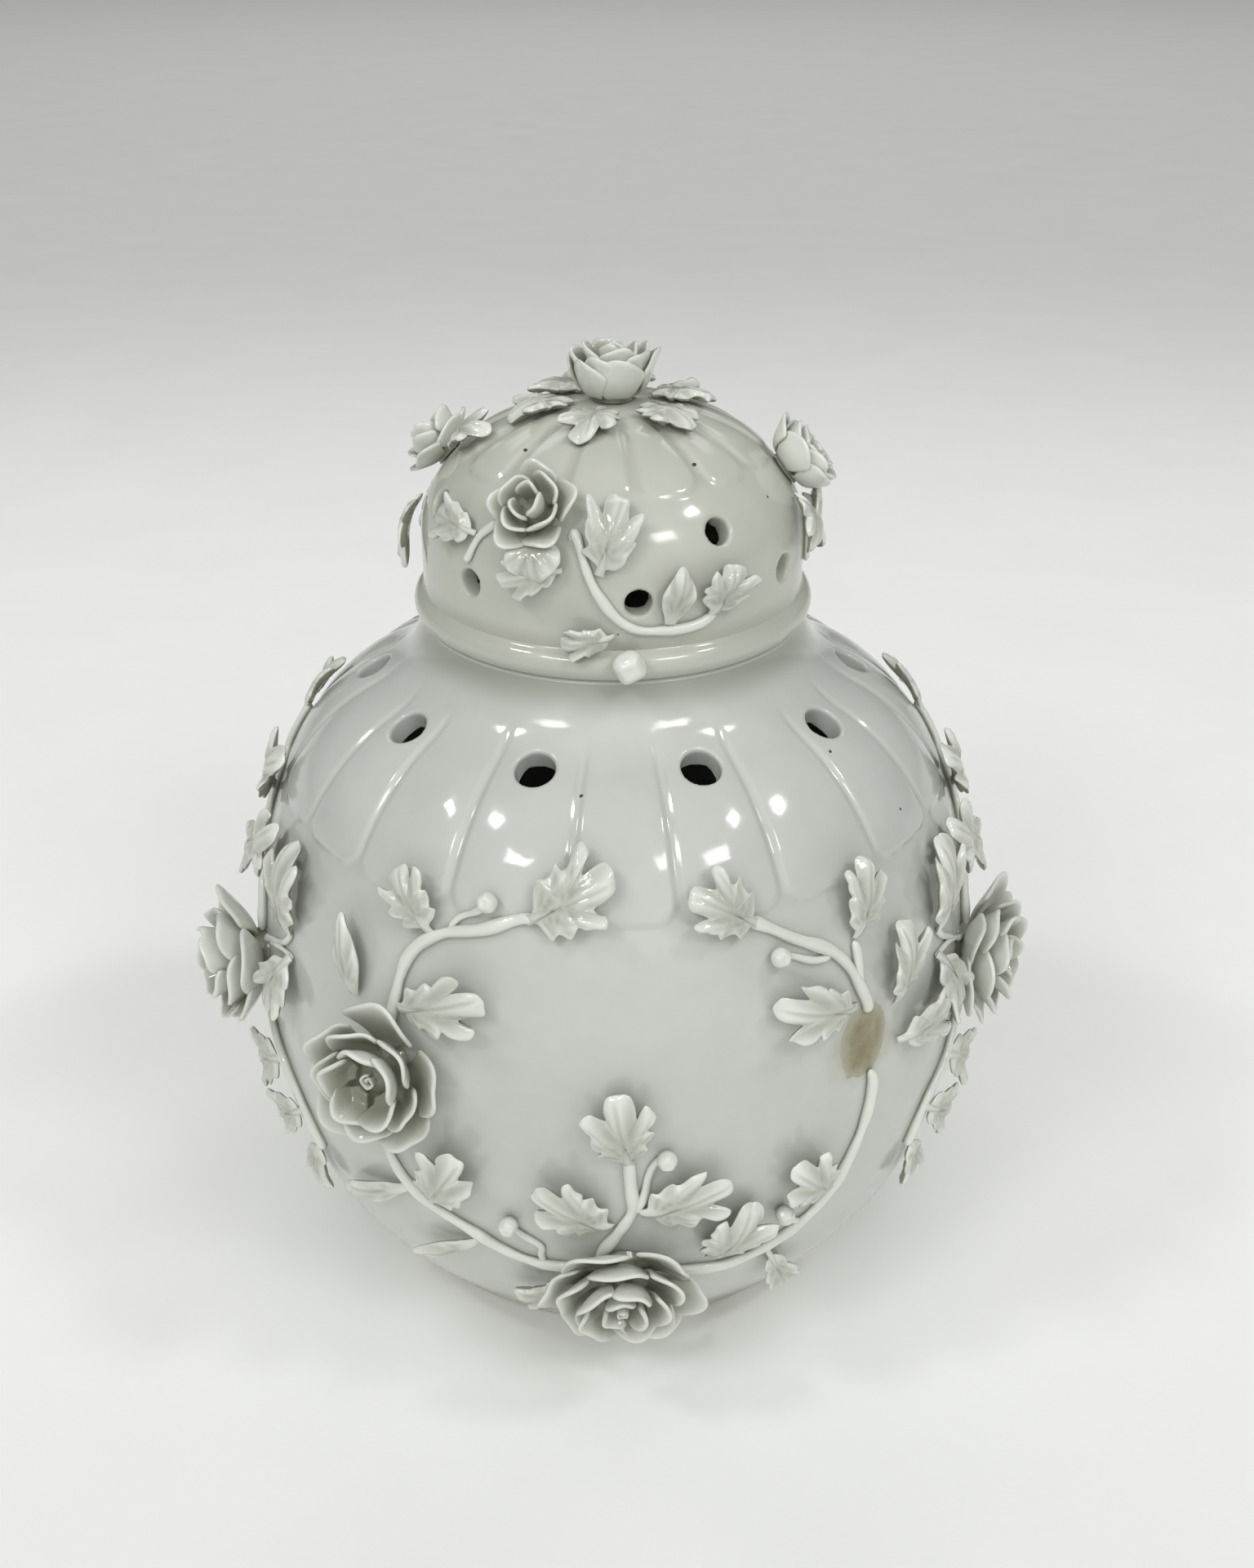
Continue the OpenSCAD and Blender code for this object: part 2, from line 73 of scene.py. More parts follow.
# Where the shoulder turns up, and the arc that takes it to the neck
TURN_IN = 0.64
TURN_UP = (1 - TURN_IN**3) ** (1 / 3)
FLARE_P = np.array([BELLY_R * TURN_IN, BELLY_Z + UP_B * TURN_UP])
FLARE_N = np.array([1.0, (TURN_UP / TURN_IN) ** 2 * BELLY_R / UP_B])
FLARE_N /= np.linalg.norm(FLARE_N)
FLARE_D = np.array([NECK_R, NECK_Z]) - FLARE_P
FLARE_R = FLARE_D @ FLARE_D / (2 * FLARE_N @ FLARE_D)
FLARE_C = FLARE_P + FLARE_R * FLARE_N

# The cover
LID_R = 44.5
LID_IN = 40.0
LID_WALL = 4.5
LID_TOP = 189.0
DOME_H = 30.0
BEAD_OUT = 2.2
BEAD_H = 6.3
# The bead runs into the wall over this height
BEAD_EASE = 0.6
RING_R = LID_IN - SEAT
RING_T = 3.5
MOUTH_R = RING_R + 0.6
LID_VENT_R = 3.0
# Vents in the cover: a low row of seven, and four higher up
LID_VENTS = [(360 / 7 * i + 7, -2) for i in range(7)] + [(az, 22) for az in (33, 136, 219, 291)]
# Turn of the spray on the back of the cover from the one in front
LID_BACK = 206.0

# The flowers
STEM_W = 3.0
LEAF_T = 1.5
BUD_D = 4.6


def ease(x, low, high):
    """0 below low, 1 above high and a smooth rise between."""
    t = np.clip((x - low) / (high - low), 0, 1)
    return t * t * (3 - 2 * t)


def unit(v):
    """Vectors of length 1."""
    return v / np.linalg.norm(v, axis=-1, keepdims=True)


def body_r(z):
    """Outer radius of the jar at a height."""
    z = np.asarray(z, float)
    low = BELLY_R * np.sqrt(np.clip(1 - ((BELLY_Z - z) / LOW_B) ** 2, 0, 1))
    high = BELLY_R * np.cbrt(np.clip(1 - (np.clip(z - BELLY_Z, 0, None) / UP_B) ** 3, 0, 1))
    flare = FLARE_C[0] - np.sqrt(np.clip(FLARE_R**2 - (FLARE_C[1] - z) ** 2, 0, None))
    return np.where(z < BELLY_Z, low, np.where(z < FLARE_P[1], high, flare))


def tongue(left, right, up, corner, soft):
    """How far a raised tongue stands up, 0 to 1, from the room to its two sides and its rounded end."""
    side = np.minimum(left, right)
    inset_x = np.clip(corner - side, 0, None)
    inset_y = np.clip(corner - up, 0, None)
    room = np.where(
        (side < corner) & (up < corner),
        corner - np.hypot(inset_x, inset_y),
        np.minimum(side, up),
    )
    return ease(room, 0, soft)


def between_grooves(az, grooves):
    """Degrees to the groove on the left and on the right of a place."""
    turn = np.mod(np.asarray(az, float) - grooves[0], 360) + grooves[0]
    ring = np.append(grooves, grooves[0] + 360)
    right = np.clip(np.searchsorted(ring, turn, side="right"), 1, len(ring) - 1)
    return turn - ring[right - 1], ring[right] - turn


# Half the width of the groove between two tongues or lobes
GROOVE_HALF = 0.4
# Twenty tongues round the shoulder, pressed by hand and so not quite even
PANEL_GROOVES = np.array([10 + 18 * i - 1.1 * math.sin(1.9 * i) for i in range(20)])
PANEL_END = 129.6
PANEL_STEP = 0.5
PANEL_PILLOW = 0.7
# Heights between which they sink back into the wall
PANEL_FADE = (150, 161)
# Fourteen lobes round the top of the dome
LOBE_GROOVES = np.array([8.4 + 360 / 14 * i + 0.9 * math.sin(2.3 * i) for i in range(14)])
LOBE_END = 36.0
LOBE_STEP = 0.45
LOBE_PILLOW = 0.45
# Degrees up the dome between which they sink back
LOBE_FADE = (66, 78)


def pillow(left, right):
    """1 midway between two grooves, falling to 0 at each."""
    return 4 * left * right / (left + right) ** 2


def panel_rise(az, z):
    """Height of the shoulder tongues above the thrown wall: a low step and a pillowed face."""
    left, right = between_grooves(az, PANEL_GROOVES)
    across = body_r(z) * math.pi / 180
    # The wall slopes, so it runs further than it rises
    up = (z - PANEL_END) * 1.2
    step = tongue(left * across - GROOVE_HALF, right * across - GROOVE_HALF, up, corner=5.0, soft=1.0)
    height = PANEL_STEP * step + PANEL_PILLOW * pillow(left, right) * ease(up, 0, 13)
    return height * (1 - ease(z, *PANEL_FADE))


def lobe_rise(az, e):
    """Height of the lobes above the dome."""
    left, right = between_grooves(az, LOBE_GROOVES)
    across = LID_R * np.cos(np.radians(np.clip(e, 0, 89))) * math.pi / 180
    # Millimetres along the dome to a degree
    up = (e - LOBE_END) * 0.66
    step = tongue(left * across - GROOVE_HALF, right * across - GROOVE_HALF, up, corner=6.0, soft=1.8)
    height = LOBE_STEP * step + LOBE_PILLOW * pillow(left, right) * ease(up, 0, 9)
    return height * (1 - ease(e, *LOBE_FADE))


def vase_at(az, z, h, relief=True):
    """A place on the jar: azimuth in degrees from the front to the right, height, lift off the wall."""
    az, z, h = np.broadcast_arrays(np.asarray(az, float), np.asarray(z, float), np.asarray(h, float))
    if relief:
        h = h + panel_rise(az, z)
    slope = body_r(z + 0.5) - body_r(z - 0.5)
    c = 1 / np.sqrt(1 + slope * slope)
    r = body_r(z) + h * c
    a = np.radians(az)
    return np.stack([r * np.sin(a), -r * np.cos(a), z - h * slope * c], -1)


def lid_at(az, e, h, relief=True):
    """A place on the cover: azimuth, degrees up the dome (below zero is the upright wall), lift."""
    az, e, h = np.broadcast_arrays(np.asarray(az, float), np.asarray(e, float), np.asarray(h, float))
    if relief:
        h = h + lobe_rise(az, e)
    up = np.radians(np.clip(e, 0, None))
    n = unit(np.stack([np.cos(up) / LID_R, np.sin(up) / DOME_H], -1))
    r = LID_R * np.cos(up) + h * n[..., 0]
    z = LID_TOP + DOME_H * np.sin(up) + np.minimum(e, 0) * LID_R * math.pi / 180 + h * n[..., 1]
    a = np.radians(az)
    return np.stack([r * np.sin(a), -r * np.cos(a), z], -1)


def outward(at, az, t):
    """The way straight out of the thrown wall at a layout place."""
    return at(az, t, 1, False) - at(az, t, 0, False)


def towards(az, el=0):
    """The way to an azimuth, counted from the front to the right, and an elevation."""
    a, e = math.radians(az), math.radians(el)
    return np.array([math.sin(a) * math.cos(e), -math.cos(a) * math.cos(e), math.sin(e)])


def walk(at, p, way, s, x):
    """The layout place s mm from p along way (0 up, 90 right) and x mm to the right of that line."""
    a = math.radians(way)
    step = np.linalg.norm(at(p[0], p[1] + 0.5, 0, False) - at(p[0], p[1] - 0.5, 0, False))
    t = p[1] + (s * math.cos(a) - x * math.sin(a)) / step
    stride = np.linalg.norm(at(p[0] + 0.5, t, 0, False) - at(p[0] - 0.5, t, 0, False), axis=-1)
    return p[0] + (s * math.sin(a) + x * math.cos(a)) / stride, t


def standing_on(at, p, turn, lean=(0, 0)):
    """Origin and axes of a flower that faces out of the wall at p, leaning some degrees right and up."""
    x = unit(at(p[0] + 0.5, p[1], 0, False) - at(p[0] - 0.5, p[1], 0, False))
    z = outward(at, *p)
    y = np.cross(z, x)
    z = unit(z + math.tan(math.radians(lean[0])) * x + math.tan(math.radians(lean[1])) * y)
    x = unit(np.cross(y, z))
    y = np.cross(z, x)
    c, s = math.cos(math.radians(turn)), math.sin(math.radians(turn))
    return at(p[0], p[1], SEAT), np.stack([c * x + s * y, c * y - s * x, z])


# Finishes


def linear(code):
    """An sRGB hex colour as linear light."""
    parts = [int(code[i : i + 2], 16) / 255 for i in (1, 3, 5)]
    return [c / 12.92 if c <= 0.04045 else ((c + 0.055) / 1.055) ** 2.4 for c in parts] + [1.0]


def add(tree, kind, *values, stops=(), **named):
    """Adds a node.

    Values go to its sockets by number, and capital names to its sockets by name. Each is a number, a
    link, or a node that stands for its first output in use. Names in small letters are the node's own
    settings, and stops are the places and colours of a ramp.
    """
    made = tree.nodes.new("ShaderNode" + kind)
    sockets = dict(enumerate(values))
    for key, value in named.items():
        if key.islower():
            setattr(made, key, value)
        else:
            sockets[key.replace("_", " ")] = value
    for key, value in sockets.items():
        if isinstance(value, bpy.types.Node):
            value = next(out for out in value.outputs if out.enabled)
        if isinstance(value, bpy.types.NodeSocket):
            tree.links.new(value, made.inputs[key])
        else:
            made.inputs[key].default_value = value
    if stops:
        ramp = made.color_ramp.elements
        while len(ramp) < len(stops):
            ramp.new(0.5)
        for element, (place, code) in zip(ramp, stops):
            element.position = place
            element.color = linear(code)
    return made


def empty_tree(made):
    """The node tree of a new material or world, with nothing in it."""
    made.use_nodes = True
    made.node_tree.nodes.clear()
    return made.node_tree


def glazed_porcelain(name, clay, thick_glaze_and_shade, wave, deep, stain=None):
    """White porcelain under a clear fired glaze.

    The glaze gives it a wet gloss with softly broken lamp reflections, because it lies in slight waves, of a
    width and depth in mm. Where it gathers in a hollow it looks greyer and greener; the same darker colour
    is also painted on as shade in hollows, undersides and low down, and here and there an iron speck has
    burnt in.
    """
    made = bpy.data.materials.new(name)
    tree = empty_tree(made)
    place = add(tree, "TexCoord").outputs["Object"]
    cloud = add(tree, "TexNoise", Vector=place, Scale=1 / (38 * MM), Detail=3.0, Roughness=0.55)
    fleck = add(tree, "TexNoise", Vector=place, Scale=1 / (5 * MM), Detail=2.0)
    tone = add(tree, "Math", fleck, 0.35, cloud, operation="MULTIPLY_ADD")
    shade = add(tree, "ValToRGB", Fac=tone, stops=[(0.45, clay[0]), (0.9, clay[1])])
    # Mask of thick glaze and of painted shade, carried by the mesh
    pool_and_shade = add(tree, "Attribute", attribute_name="glaze_and_shade").outputs["Fac"]
    colour = add(tree, "Mix", data_type="RGBA", Factor=pool_and_shade, A=shade, B=linear(thick_glaze_and_shade))
    # Rare iron specks, less than 1 mm across
    cells = add(tree, "TexVoronoi", Vector=place, Scale=1 / (9 * MM))
    rare = add(tree, "Math", cells.outputs["Color"], 0.12, operation="LESS_THAN")
    dot = add(
        tree, "MapRange", interpolation_type="SMOOTHSTEP",
        Value=cells.outputs["Distance"], From_Min=0.02, From_Max=0.045, To_Min=0.75, To_Max=0.0,
    )
    speck = add(tree, "Math", rare, dot, operation="MULTIPLY")
    colour = add(tree, "Mix", data_type="RGBA", Factor=speck, A=colour, B=linear("#6a6455"))
    if stain is not None:
        # Rust-brown bloom that has crept under the glaze round the broken place
        middle = [v * MM for v in stain]
        away = add(tree, "VectorMath", place, middle, operation="DISTANCE")
        ragged = add(tree, "Math", fleck, 7 * MM, away, operation="MULTIPLY_ADD")
        bloom = add(
            tree, "MapRange", interpolation_type="SMOOTHSTEP",
            Value=ragged, From_Min=8 * MM, From_Max=17 * MM, To_Min=0.55, To_Max=0.0,
        )
        colour = add(tree, "Mix", data_type="RGBA", Factor=bloom, A=colour, B=linear("#a5a085"))
    uneven = add(tree, "TexNoise", Vector=place, Scale=1 / (wave * MM), Detail=2.0, Roughness=0.45)
    bump = add(tree, "Bump", Distance=deep * MM, Height=uneven)
    gloss = add(tree, "MapRange", Value=cloud, From_Min=0.3, From_Max=0.7, To_Min=0.07, To_Max=0.16)
    shader = add(tree, "BsdfPrincipled", Base_Color=colour, Roughness=gloss, IOR=1.52, Normal=bump)
    add(tree, "OutputMaterial", Surface=shader)
    return made


def bare_porcelain(name, clay, stains, grain, deep, skin=None):
    """Ceramic with no glaze: fired biscuit, a break or a burnt grain of iron.

    It is matt and slightly sugary, takes up dirt and stain, and shows its grit, of a grain and depth in mm.
    Where a skin colour is given, glaze creeps in over the edge of the bare place.
    """
    made = bpy.data.materials.new(name)
    tree = empty_tree(made)
    place = add(tree, "TexCoord").outputs["Object"]
    blotch = add(tree, "TexNoise", Vector=place, Scale=1 / (6 * MM), Detail=5.0, Roughness=0.62)
    shades = [(0.34, stains[0]), (0.5, stains[1]), (0.66, clay)]
    colour = add(tree, "ValToRGB", Fac=blotch, stops=shades)
    if skin is not None:
        creep = add(tree, "Attribute", attribute_name="glaze_and_shade").outputs["Fac"]
        colour = add(tree, "Mix", data_type="RGBA", Factor=creep, A=colour, B=linear(skin))
    grit = add(tree, "TexNoise", Vector=place, Scale=1 / (grain * MM), Detail=4.0, Roughness=0.7)
    bump = add(tree, "Bump", Distance=deep * MM, Height=grit)
    dull = add(tree, "MapRange", Value=blotch, From_Min=0.3, From_Max=0.7, To_Min=0.6, To_Max=0.78)
    shader = add(tree, "BsdfPrincipled", Base_Color=colour, Roughness=dull, IOR=1.5, Normal=bump)
    add(tree, "OutputMaterial", Surface=shader)
    return made


SCAR_AT = (38.6, 92.4)
scar_place = vase_at(SCAR_AT[0], SCAR_AT[1], 0, False)
wall_glaze = glazed_porcelain(
    "glazed_porcelain_thrown_jar", ("#c3c6c0", "#cacdc7"), "#a3a69b", wave=10, deep=0.2, stain=scar_place
)
lid_glaze = glazed_porcelain(
    "glazed_porcelain_thrown_cover", ("#bec1b5", "#c5c8bc"), "#a0a395", wave=10, deep=0.2
)
# Lighter than the jar's glaze, partly the thinner glaze on modelled pieces and partly painted light; its
# darker colour is painted shade as well as thick glaze
flower_glaze = glazed_porcelain(
    "glazed_porcelain_hand_modelled", ("#d9dcd3", "#e4e7df"), "#8d8f7e", wave=2.6, deep=0.14
)
biscuit = bare_porcelain("biscuit_porcelain_foot", "#d6d4ca", ("#bdb9aa", "#cac7bb"), grain=0.5, deep=0.05)
broken = bare_porcelain(
    "broken_porcelain_stained", "#a49f86", ("#877f5d", "#938d70"), grain=1.6, deep=0.3, skin="#b0ad9a"
)
iron = bare_porcelain("iron_speck_in_glaze", "#4a463a", ("#35322a", "#403c32"), grain=0.4, deep=0.02)


# Making meshes


def make(name, sheets, finish, body, nodes=(), rounds=0):
    """Joins sheets, each (points in mm, faces, how thick the glaze lies and how much shade is painted), into
    one piece on a body.
    """
    points, faces, glaze_and_shade, count = [], [], [], 0
    for sheet_points, sheet_faces, sheet_glaze_and_shade in sheets:
        points.append(sheet_points)
        glaze_and_shade.append(np.broadcast_to(sheet_glaze_and_shade, (len(sheet_points),)))
        faces += [tuple(count + k for k in face) for face in sheet_faces]
        count += len(sheet_points)
    mesh = bpy.data.meshes.new(name)
    mesh.from_pydata((np.concatenate(points) * MM).tolist(), [], faces)
    mesh.attributes.new("glaze_and_shade", "FLOAT", "POINT").data.foreach_set("value", np.concatenate(glaze_and_shade))
    mesh.shade_smooth()
    mesh.materials.append(finish)
    piece = bpy.data.objects.new(name, mesh)
    scene.collection.objects.link(piece)
    if rounds:
        rounding = piece.modifiers.new("rounding", "SUBSURF")
        rounding.levels = rounds
        rounding.render_levels = rounds
    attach(piece, body)
    if nodes:
        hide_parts(*nodes)


def lathe_faces(rows, columns, shut=None):
    """Quads of a turned grid that closes round its axis, leaving out those that touch a shut point."""
    i, j = np.meshgrid(np.arange(rows - 1), np.arange(columns), indexing="ij")
    k = (j + 1) % columns
    quads = np.stack([i * columns + j, i * columns + k, (i + 1) * columns + k, (i + 1) * columns + j], -1)
    quads = quads.reshape(-1, 4)
    if shut is not None:
        quads = quads[~shut.reshape(-1)[quads].any(1)]
    return quads.tolist()


def flipped(faces):
    """Faces that look the other way."""
    return [face[::-1] for face in faces]


def turned(outline, columns, glaze_and_shade=0.0):
    """A sheet turned from an outline of (radius, height)."""
    line = np.asarray(outline, float)
    a = np.linspace(0, 2 * math.pi, columns, endpoint=False)
    r, z = line[:, 0, None], line[:, 1, None]
    grid = np.stack([r * np.sin(a), -r * np.cos(a), np.repeat(z, columns, 1)], -1)
    return grid.reshape(-1, 3), lathe_faces(len(line), columns), glaze_and_shade


def evenly(line, spacing):
    """Points along an outline, as far apart as spacing(radius, height) says."""
    line = np.asarray(line, float)
    run = np.append(0, np.cumsum(np.linalg.norm(np.diff(line, axis=0), axis=1)))
    stops = [0.0]
    while stops[-1] < run[-1]:
        here = [np.interp(stops[-1], run, line[:, k]) for k in (0, 1)]
        stops.append(stops[-1] + spacing(*here))
    stops = np.array(stops) * run[-1] / stops[-1]
    return np.stack([np.interp(stops, run, line[:, k]) for k in (0, 1)], -1)


def pierce(grid, shut, centre, axis, radius, lip, deep, open_share=0.14):
    """Rolls the wall in round a vent: the rim turns over a lip and runs in as a smooth tube.

    Points within open_share of the vent's edge are shut out, which leaves the hole.
    """
    away = grid - centre
    off = away @ axis
    out = away - off[..., None] * axis
    rho = np.linalg.norm(out, axis=-1)
    edge = radius + lip
    core = open_share * edge
    near = (rho < edge) & (np.abs(off) < VENT_REACH)
    run = (edge - rho[near]) / (edge - core) * (lip * math.pi / 2 + deep - lip)
    roll = np.clip(run / lip, 0, math.pi / 2)
    ring = edge - lip * np.sin(roll)
    sunk = lip * (1 - np.cos(roll)) + np.clip(run - lip * math.pi / 2, 0, None)
    flat = off[near] * (rho[near] / edge) - sunk
    way = out[near] / np.maximum(rho[near], 1e-6)[:, None]
    grid[near] = centre + flat[:, None] * axis + ring[:, None] * way
    shut[near] |= rho[near] < core


def pierced_inside(inner, columns, vents, wall, radius):
    """Points and faces of the inner side of a wall with its vents, from an outline of (radius, height)."""
    grid = turned(inner, columns)[0].reshape(len(inner), columns, 3)
    shut = np.zeros(grid.shape[:2], bool)
    for centre, axis in vents:
        pierce(grid, shut, centre - axis * wall, -axis, radius + 0.05, lip=0.3, deep=0.4, open_share=0.4)
    return grid.reshape(-1, 3), lathe_faces(len(inner), columns, shut)


# The jar


def vase_vents():
    """Middle and outward axis of each shoulder vent."""
    for i in range(VENTS):
        az = 360 / VENTS * (i + 0.5) + VENT_TURN
        yield vase_at(az, FLARE_P[1], 0), outward(vase_at, az, FLARE_P[1])


def vase_sheets():
    """The jar's outside with its tongues and vents, its underside, its lip, and its inside."""
    columns = 720
    start, end = FOOT_H + 1.2, NECK_Z - 0.8
    z = np.linspace(start, end, 4000)
    # Points lie closest round the vents
    close = evenly(
        np.stack([body_r(z), z], -1),
        lambda r, h: 0.5 if 145 < h < 162 else 0.7 if h > 126 else 1.5,
    )
    az = np.linspace(0, 360, columns, endpoint=False)[None, :]
    z = close[:, 1, None]
    rise = panel_rise(az, z)
    grid = vase_at(az, z, 0)
    shut = np.zeros(grid.shape[:2], bool)
    for centre, axis in vase_vents():
        pierce(grid, shut, centre, axis, VENT_R, lip=0.6, deep=WALL + 1.4)
    # Thick glaze and painted shade in the grooves of the shoulder; painted shade towards the foot and
    # painted shadow under the bead
    groove = (1 - ease(rise, 0, 0.4)) * ease(z, 128, 131) * (1 - ease(z, 148, 154))
    painted_shade_low_down = 1 - ease(z, 6, 24)
    painted_shadow_under_bead = ease(z, 161, 168)
    glaze_and_shade = np.clip(0.2 * groove + 0.5 * painted_shade_low_down + painted_shadow_under_bead, 0, 1)
    outside = grid.reshape(-1, 3), lathe_faces(len(close), columns, shut), glaze_and_shade.reshape(-1)
    underside = [(AXIS_R, FOOT_H), (50, FOOT_H), (63.6, FOOT_H), (64.6, FOOT_H + 0.3)]
    underside.append((body_r(start), start))
    lip = [
        (body_r(end), end),
        (NECK_R - 0.25, NECK_Z - 0.25),
        (NECK_R - 0.9, NECK_Z),
        (MOUTH_R + 0.9, NECK_Z),
        (MOUTH_R + 0.25, NECK_Z - 0.25),
        (MOUTH_R, NECK_Z - 0.9),
    ]
    # The inside follows the outside at the wall's thickness, and rounds off into the floor
    z = np.linspace(FLOOR_Z - 3, NECK_Z, 400)
    slope = (body_r(z + 0.2) - body_r(z - 0.2)) / 0.4
    out = unit(np.stack([np.ones_like(z), -slope], -1))
    hollow = np.stack([body_r(z), z], -1) - WALL * out
    hollow = hollow[(hollow[:, 1] > FLOOR_Z + 3) & (hollow[:, 1] < NECK_Z - 3)]
    hollow[:, 0] = np.maximum(hollow[:, 0], MOUTH_R)
    heel = hollow[0, 0]
    line = [(MOUTH_R, NECK_Z - 0.9), (MOUTH_R, NECK_Z - 3)] + hollow[::-1].tolist()
    line += [(heel - 1.2, FLOOR_Z + 1.2), (heel - 3.4, FLOOR_Z + 0.2), (heel - 6, FLOOR_Z)]
    line.append((AXIS_R, FLOOR_Z))
    inner = evenly(line, lambda r, h: 0.9 if 140 < h < 160 else 2.5)
    points, faces = pierced_inside(inner, 360, vase_vents(), WALL, VENT_R)
    # The underside carries painted shade, and the inside a faint painted shade
    return [outside, turned(underside, ROUND, 0.6), turned(lip, ROUND), (points, faces, 0.15)]


walls = ("vase_floor", "vase_bowl", "vase_belly", "vase_shoulder")
make("vase_wall_thrown", vase_sheets(), wall_glaze, "vase", walls)
foot_in = FOOT_R - FOOT_W
foot = [
    (FOOT_R, FOOT_H), (FOOT_R + 0.1, 3.2), (FOOT_R - 0.1, 1.2), (FOOT_R - 0.5, 0.4), (FOOT_R - 1.3, 0.0),
    (foot_in + 1.2, 0.0), (foot_in + 0.4, 0.4), (foot_in, 1.2), (foot_in, FOOT_H),
]
make("foot_ring_turned", [turned(foot, ROUND)], biscuit, "vase", ("foot_ring",))


# The cover


def lid_vents():
    """Middle and outward axis of each vent in the cover."""
    for az, e in LID_VENTS:
        yield lid_at(az, e, 0), outward(lid_at, az, e)


def lid_sheets():
    """The cover's outside with its lobes and vents, its bead, and its inside."""
    columns = 600
    # Rows lie closer together below, where the vents are
    e = [-(LID_TOP - NECK_Z - BEAD_H - BEAD_EASE) / (LID_R * math.pi / 180)]
    while e[-1] < 89.6:
        here = e[-1]
        up = math.radians(max(here, 0))
        per_radian = math.hypot(LID_R * math.sin(up), DOME_H * math.cos(up)) if here > 0 else LID_R
        step = 0.47 if here < 30 else 0.65
        e.append(here + math.degrees(step / per_radian))
    rows = len(e)
    e = np.array(e)[:, None]
    az = np.linspace(0, 360, columns, endpoint=False)[None, :]
    grid = lid_at(az, e, 0)
    rise = lobe_rise(az, e)
    shut = np.zeros(grid.shape[:2], bool)
    for centre, axis in lid_vents():
        pierce(grid, shut, centre, axis, LID_VENT_R, lip=0.5, deep=LID_WALL + 1.1)
    # Thick glaze and painted shade in the grooves between the lobes; painted shade low on the wall above the
    # bead
    groove = (1 - ease(rise, 0, 0.4)) * ease(e, 38, 42) * (1 - ease(e, 66, 74))
    glaze_and_shade = np.clip(0.3 * groove + 0.6 * (1 - ease(e, -15, -10)), 0, 1)
    outside = grid.reshape(-1, 3), lathe_faces(rows, columns, shut), glaze_and_shade.reshape(-1)
    bead = [(LID_IN, NECK_Z + 0.4), (LID_IN + 0.4, NECK_Z)]
    for t in np.radians(np.linspace(-90, 78, 18)):
        out = LID_R + 0.2 + BEAD_OUT * math.cos(t) ** 1.3
        bead.append((out, NECK_Z + BEAD_H / 2 * (1 + math.sin(t))))
    bead.append((LID_R, NECK_Z + BEAD_H + BEAD_EASE))
    roll = turned(evenly(bead, lambda r, h: 0.5), ROUND, 0.1)
    line = [(LID_IN, NECK_Z + 0.4)]
    for t in np.radians(np.linspace(0, 89.8, 60)):
        line.append((LID_IN * math.cos(t), LID_TOP + (DOME_H - LID_WALL) * math.sin(t)))
    inner = evenly(line, lambda r, h: 0.8 if h < 206 else 1.6)
    points, faces = pierced_inside(inner, 300, lid_vents(), LID_WALL, LID_VENT_R)
    # The inside of the cover carries a faint painted shade
    return [outside, roll, (points, flipped(faces), 0.15)]


make("lid_wall_thrown", lid_sheets(), lid_glaze, "cover", ("lid_collar", "lid_dome"))
ring_in = RING_R - RING_T
flange = [
    (RING_R, NECK_Z + 6),
    (RING_R, NECK_Z - 8.0),
    (RING_R - 0.3, NECK_Z - 8.7),
    (RING_R - 1.0, NECK_Z - 9.0),
    (ring_in + 1.0, NECK_Z - 9.0),
    (ring_in + 0.3, NECK_Z - 8.7),
    (ring_in, NECK_Z - 8.0),
    (ring_in, NECK_Z + 6),
    (RING_R, NECK_Z + 6),
]
make("lid_flange_turned", [turned(flange, ROUND)], biscuit, "cover", ("lid_flange",))


# Stems, leaves, buds and roses


def smooth_path(path, steps):
    """A smooth line through layout places."""
    p = [np.array(q, float) for q in path]
    n = len(p) - 1
    line = []
    for i in range(n):
        a, b, c, d = p[max(0, i - 1)], p[i], p[i + 1], p[min(n, i + 2)]
        for u in np.arange(steps) / steps:
            line.append(b + u / 2 * (c - a + u * (2 * a - 5 * b + 4 * c - d + u * (3 * (b - c) + d - a))))
    line.append(p[n])
    return np.array(line)


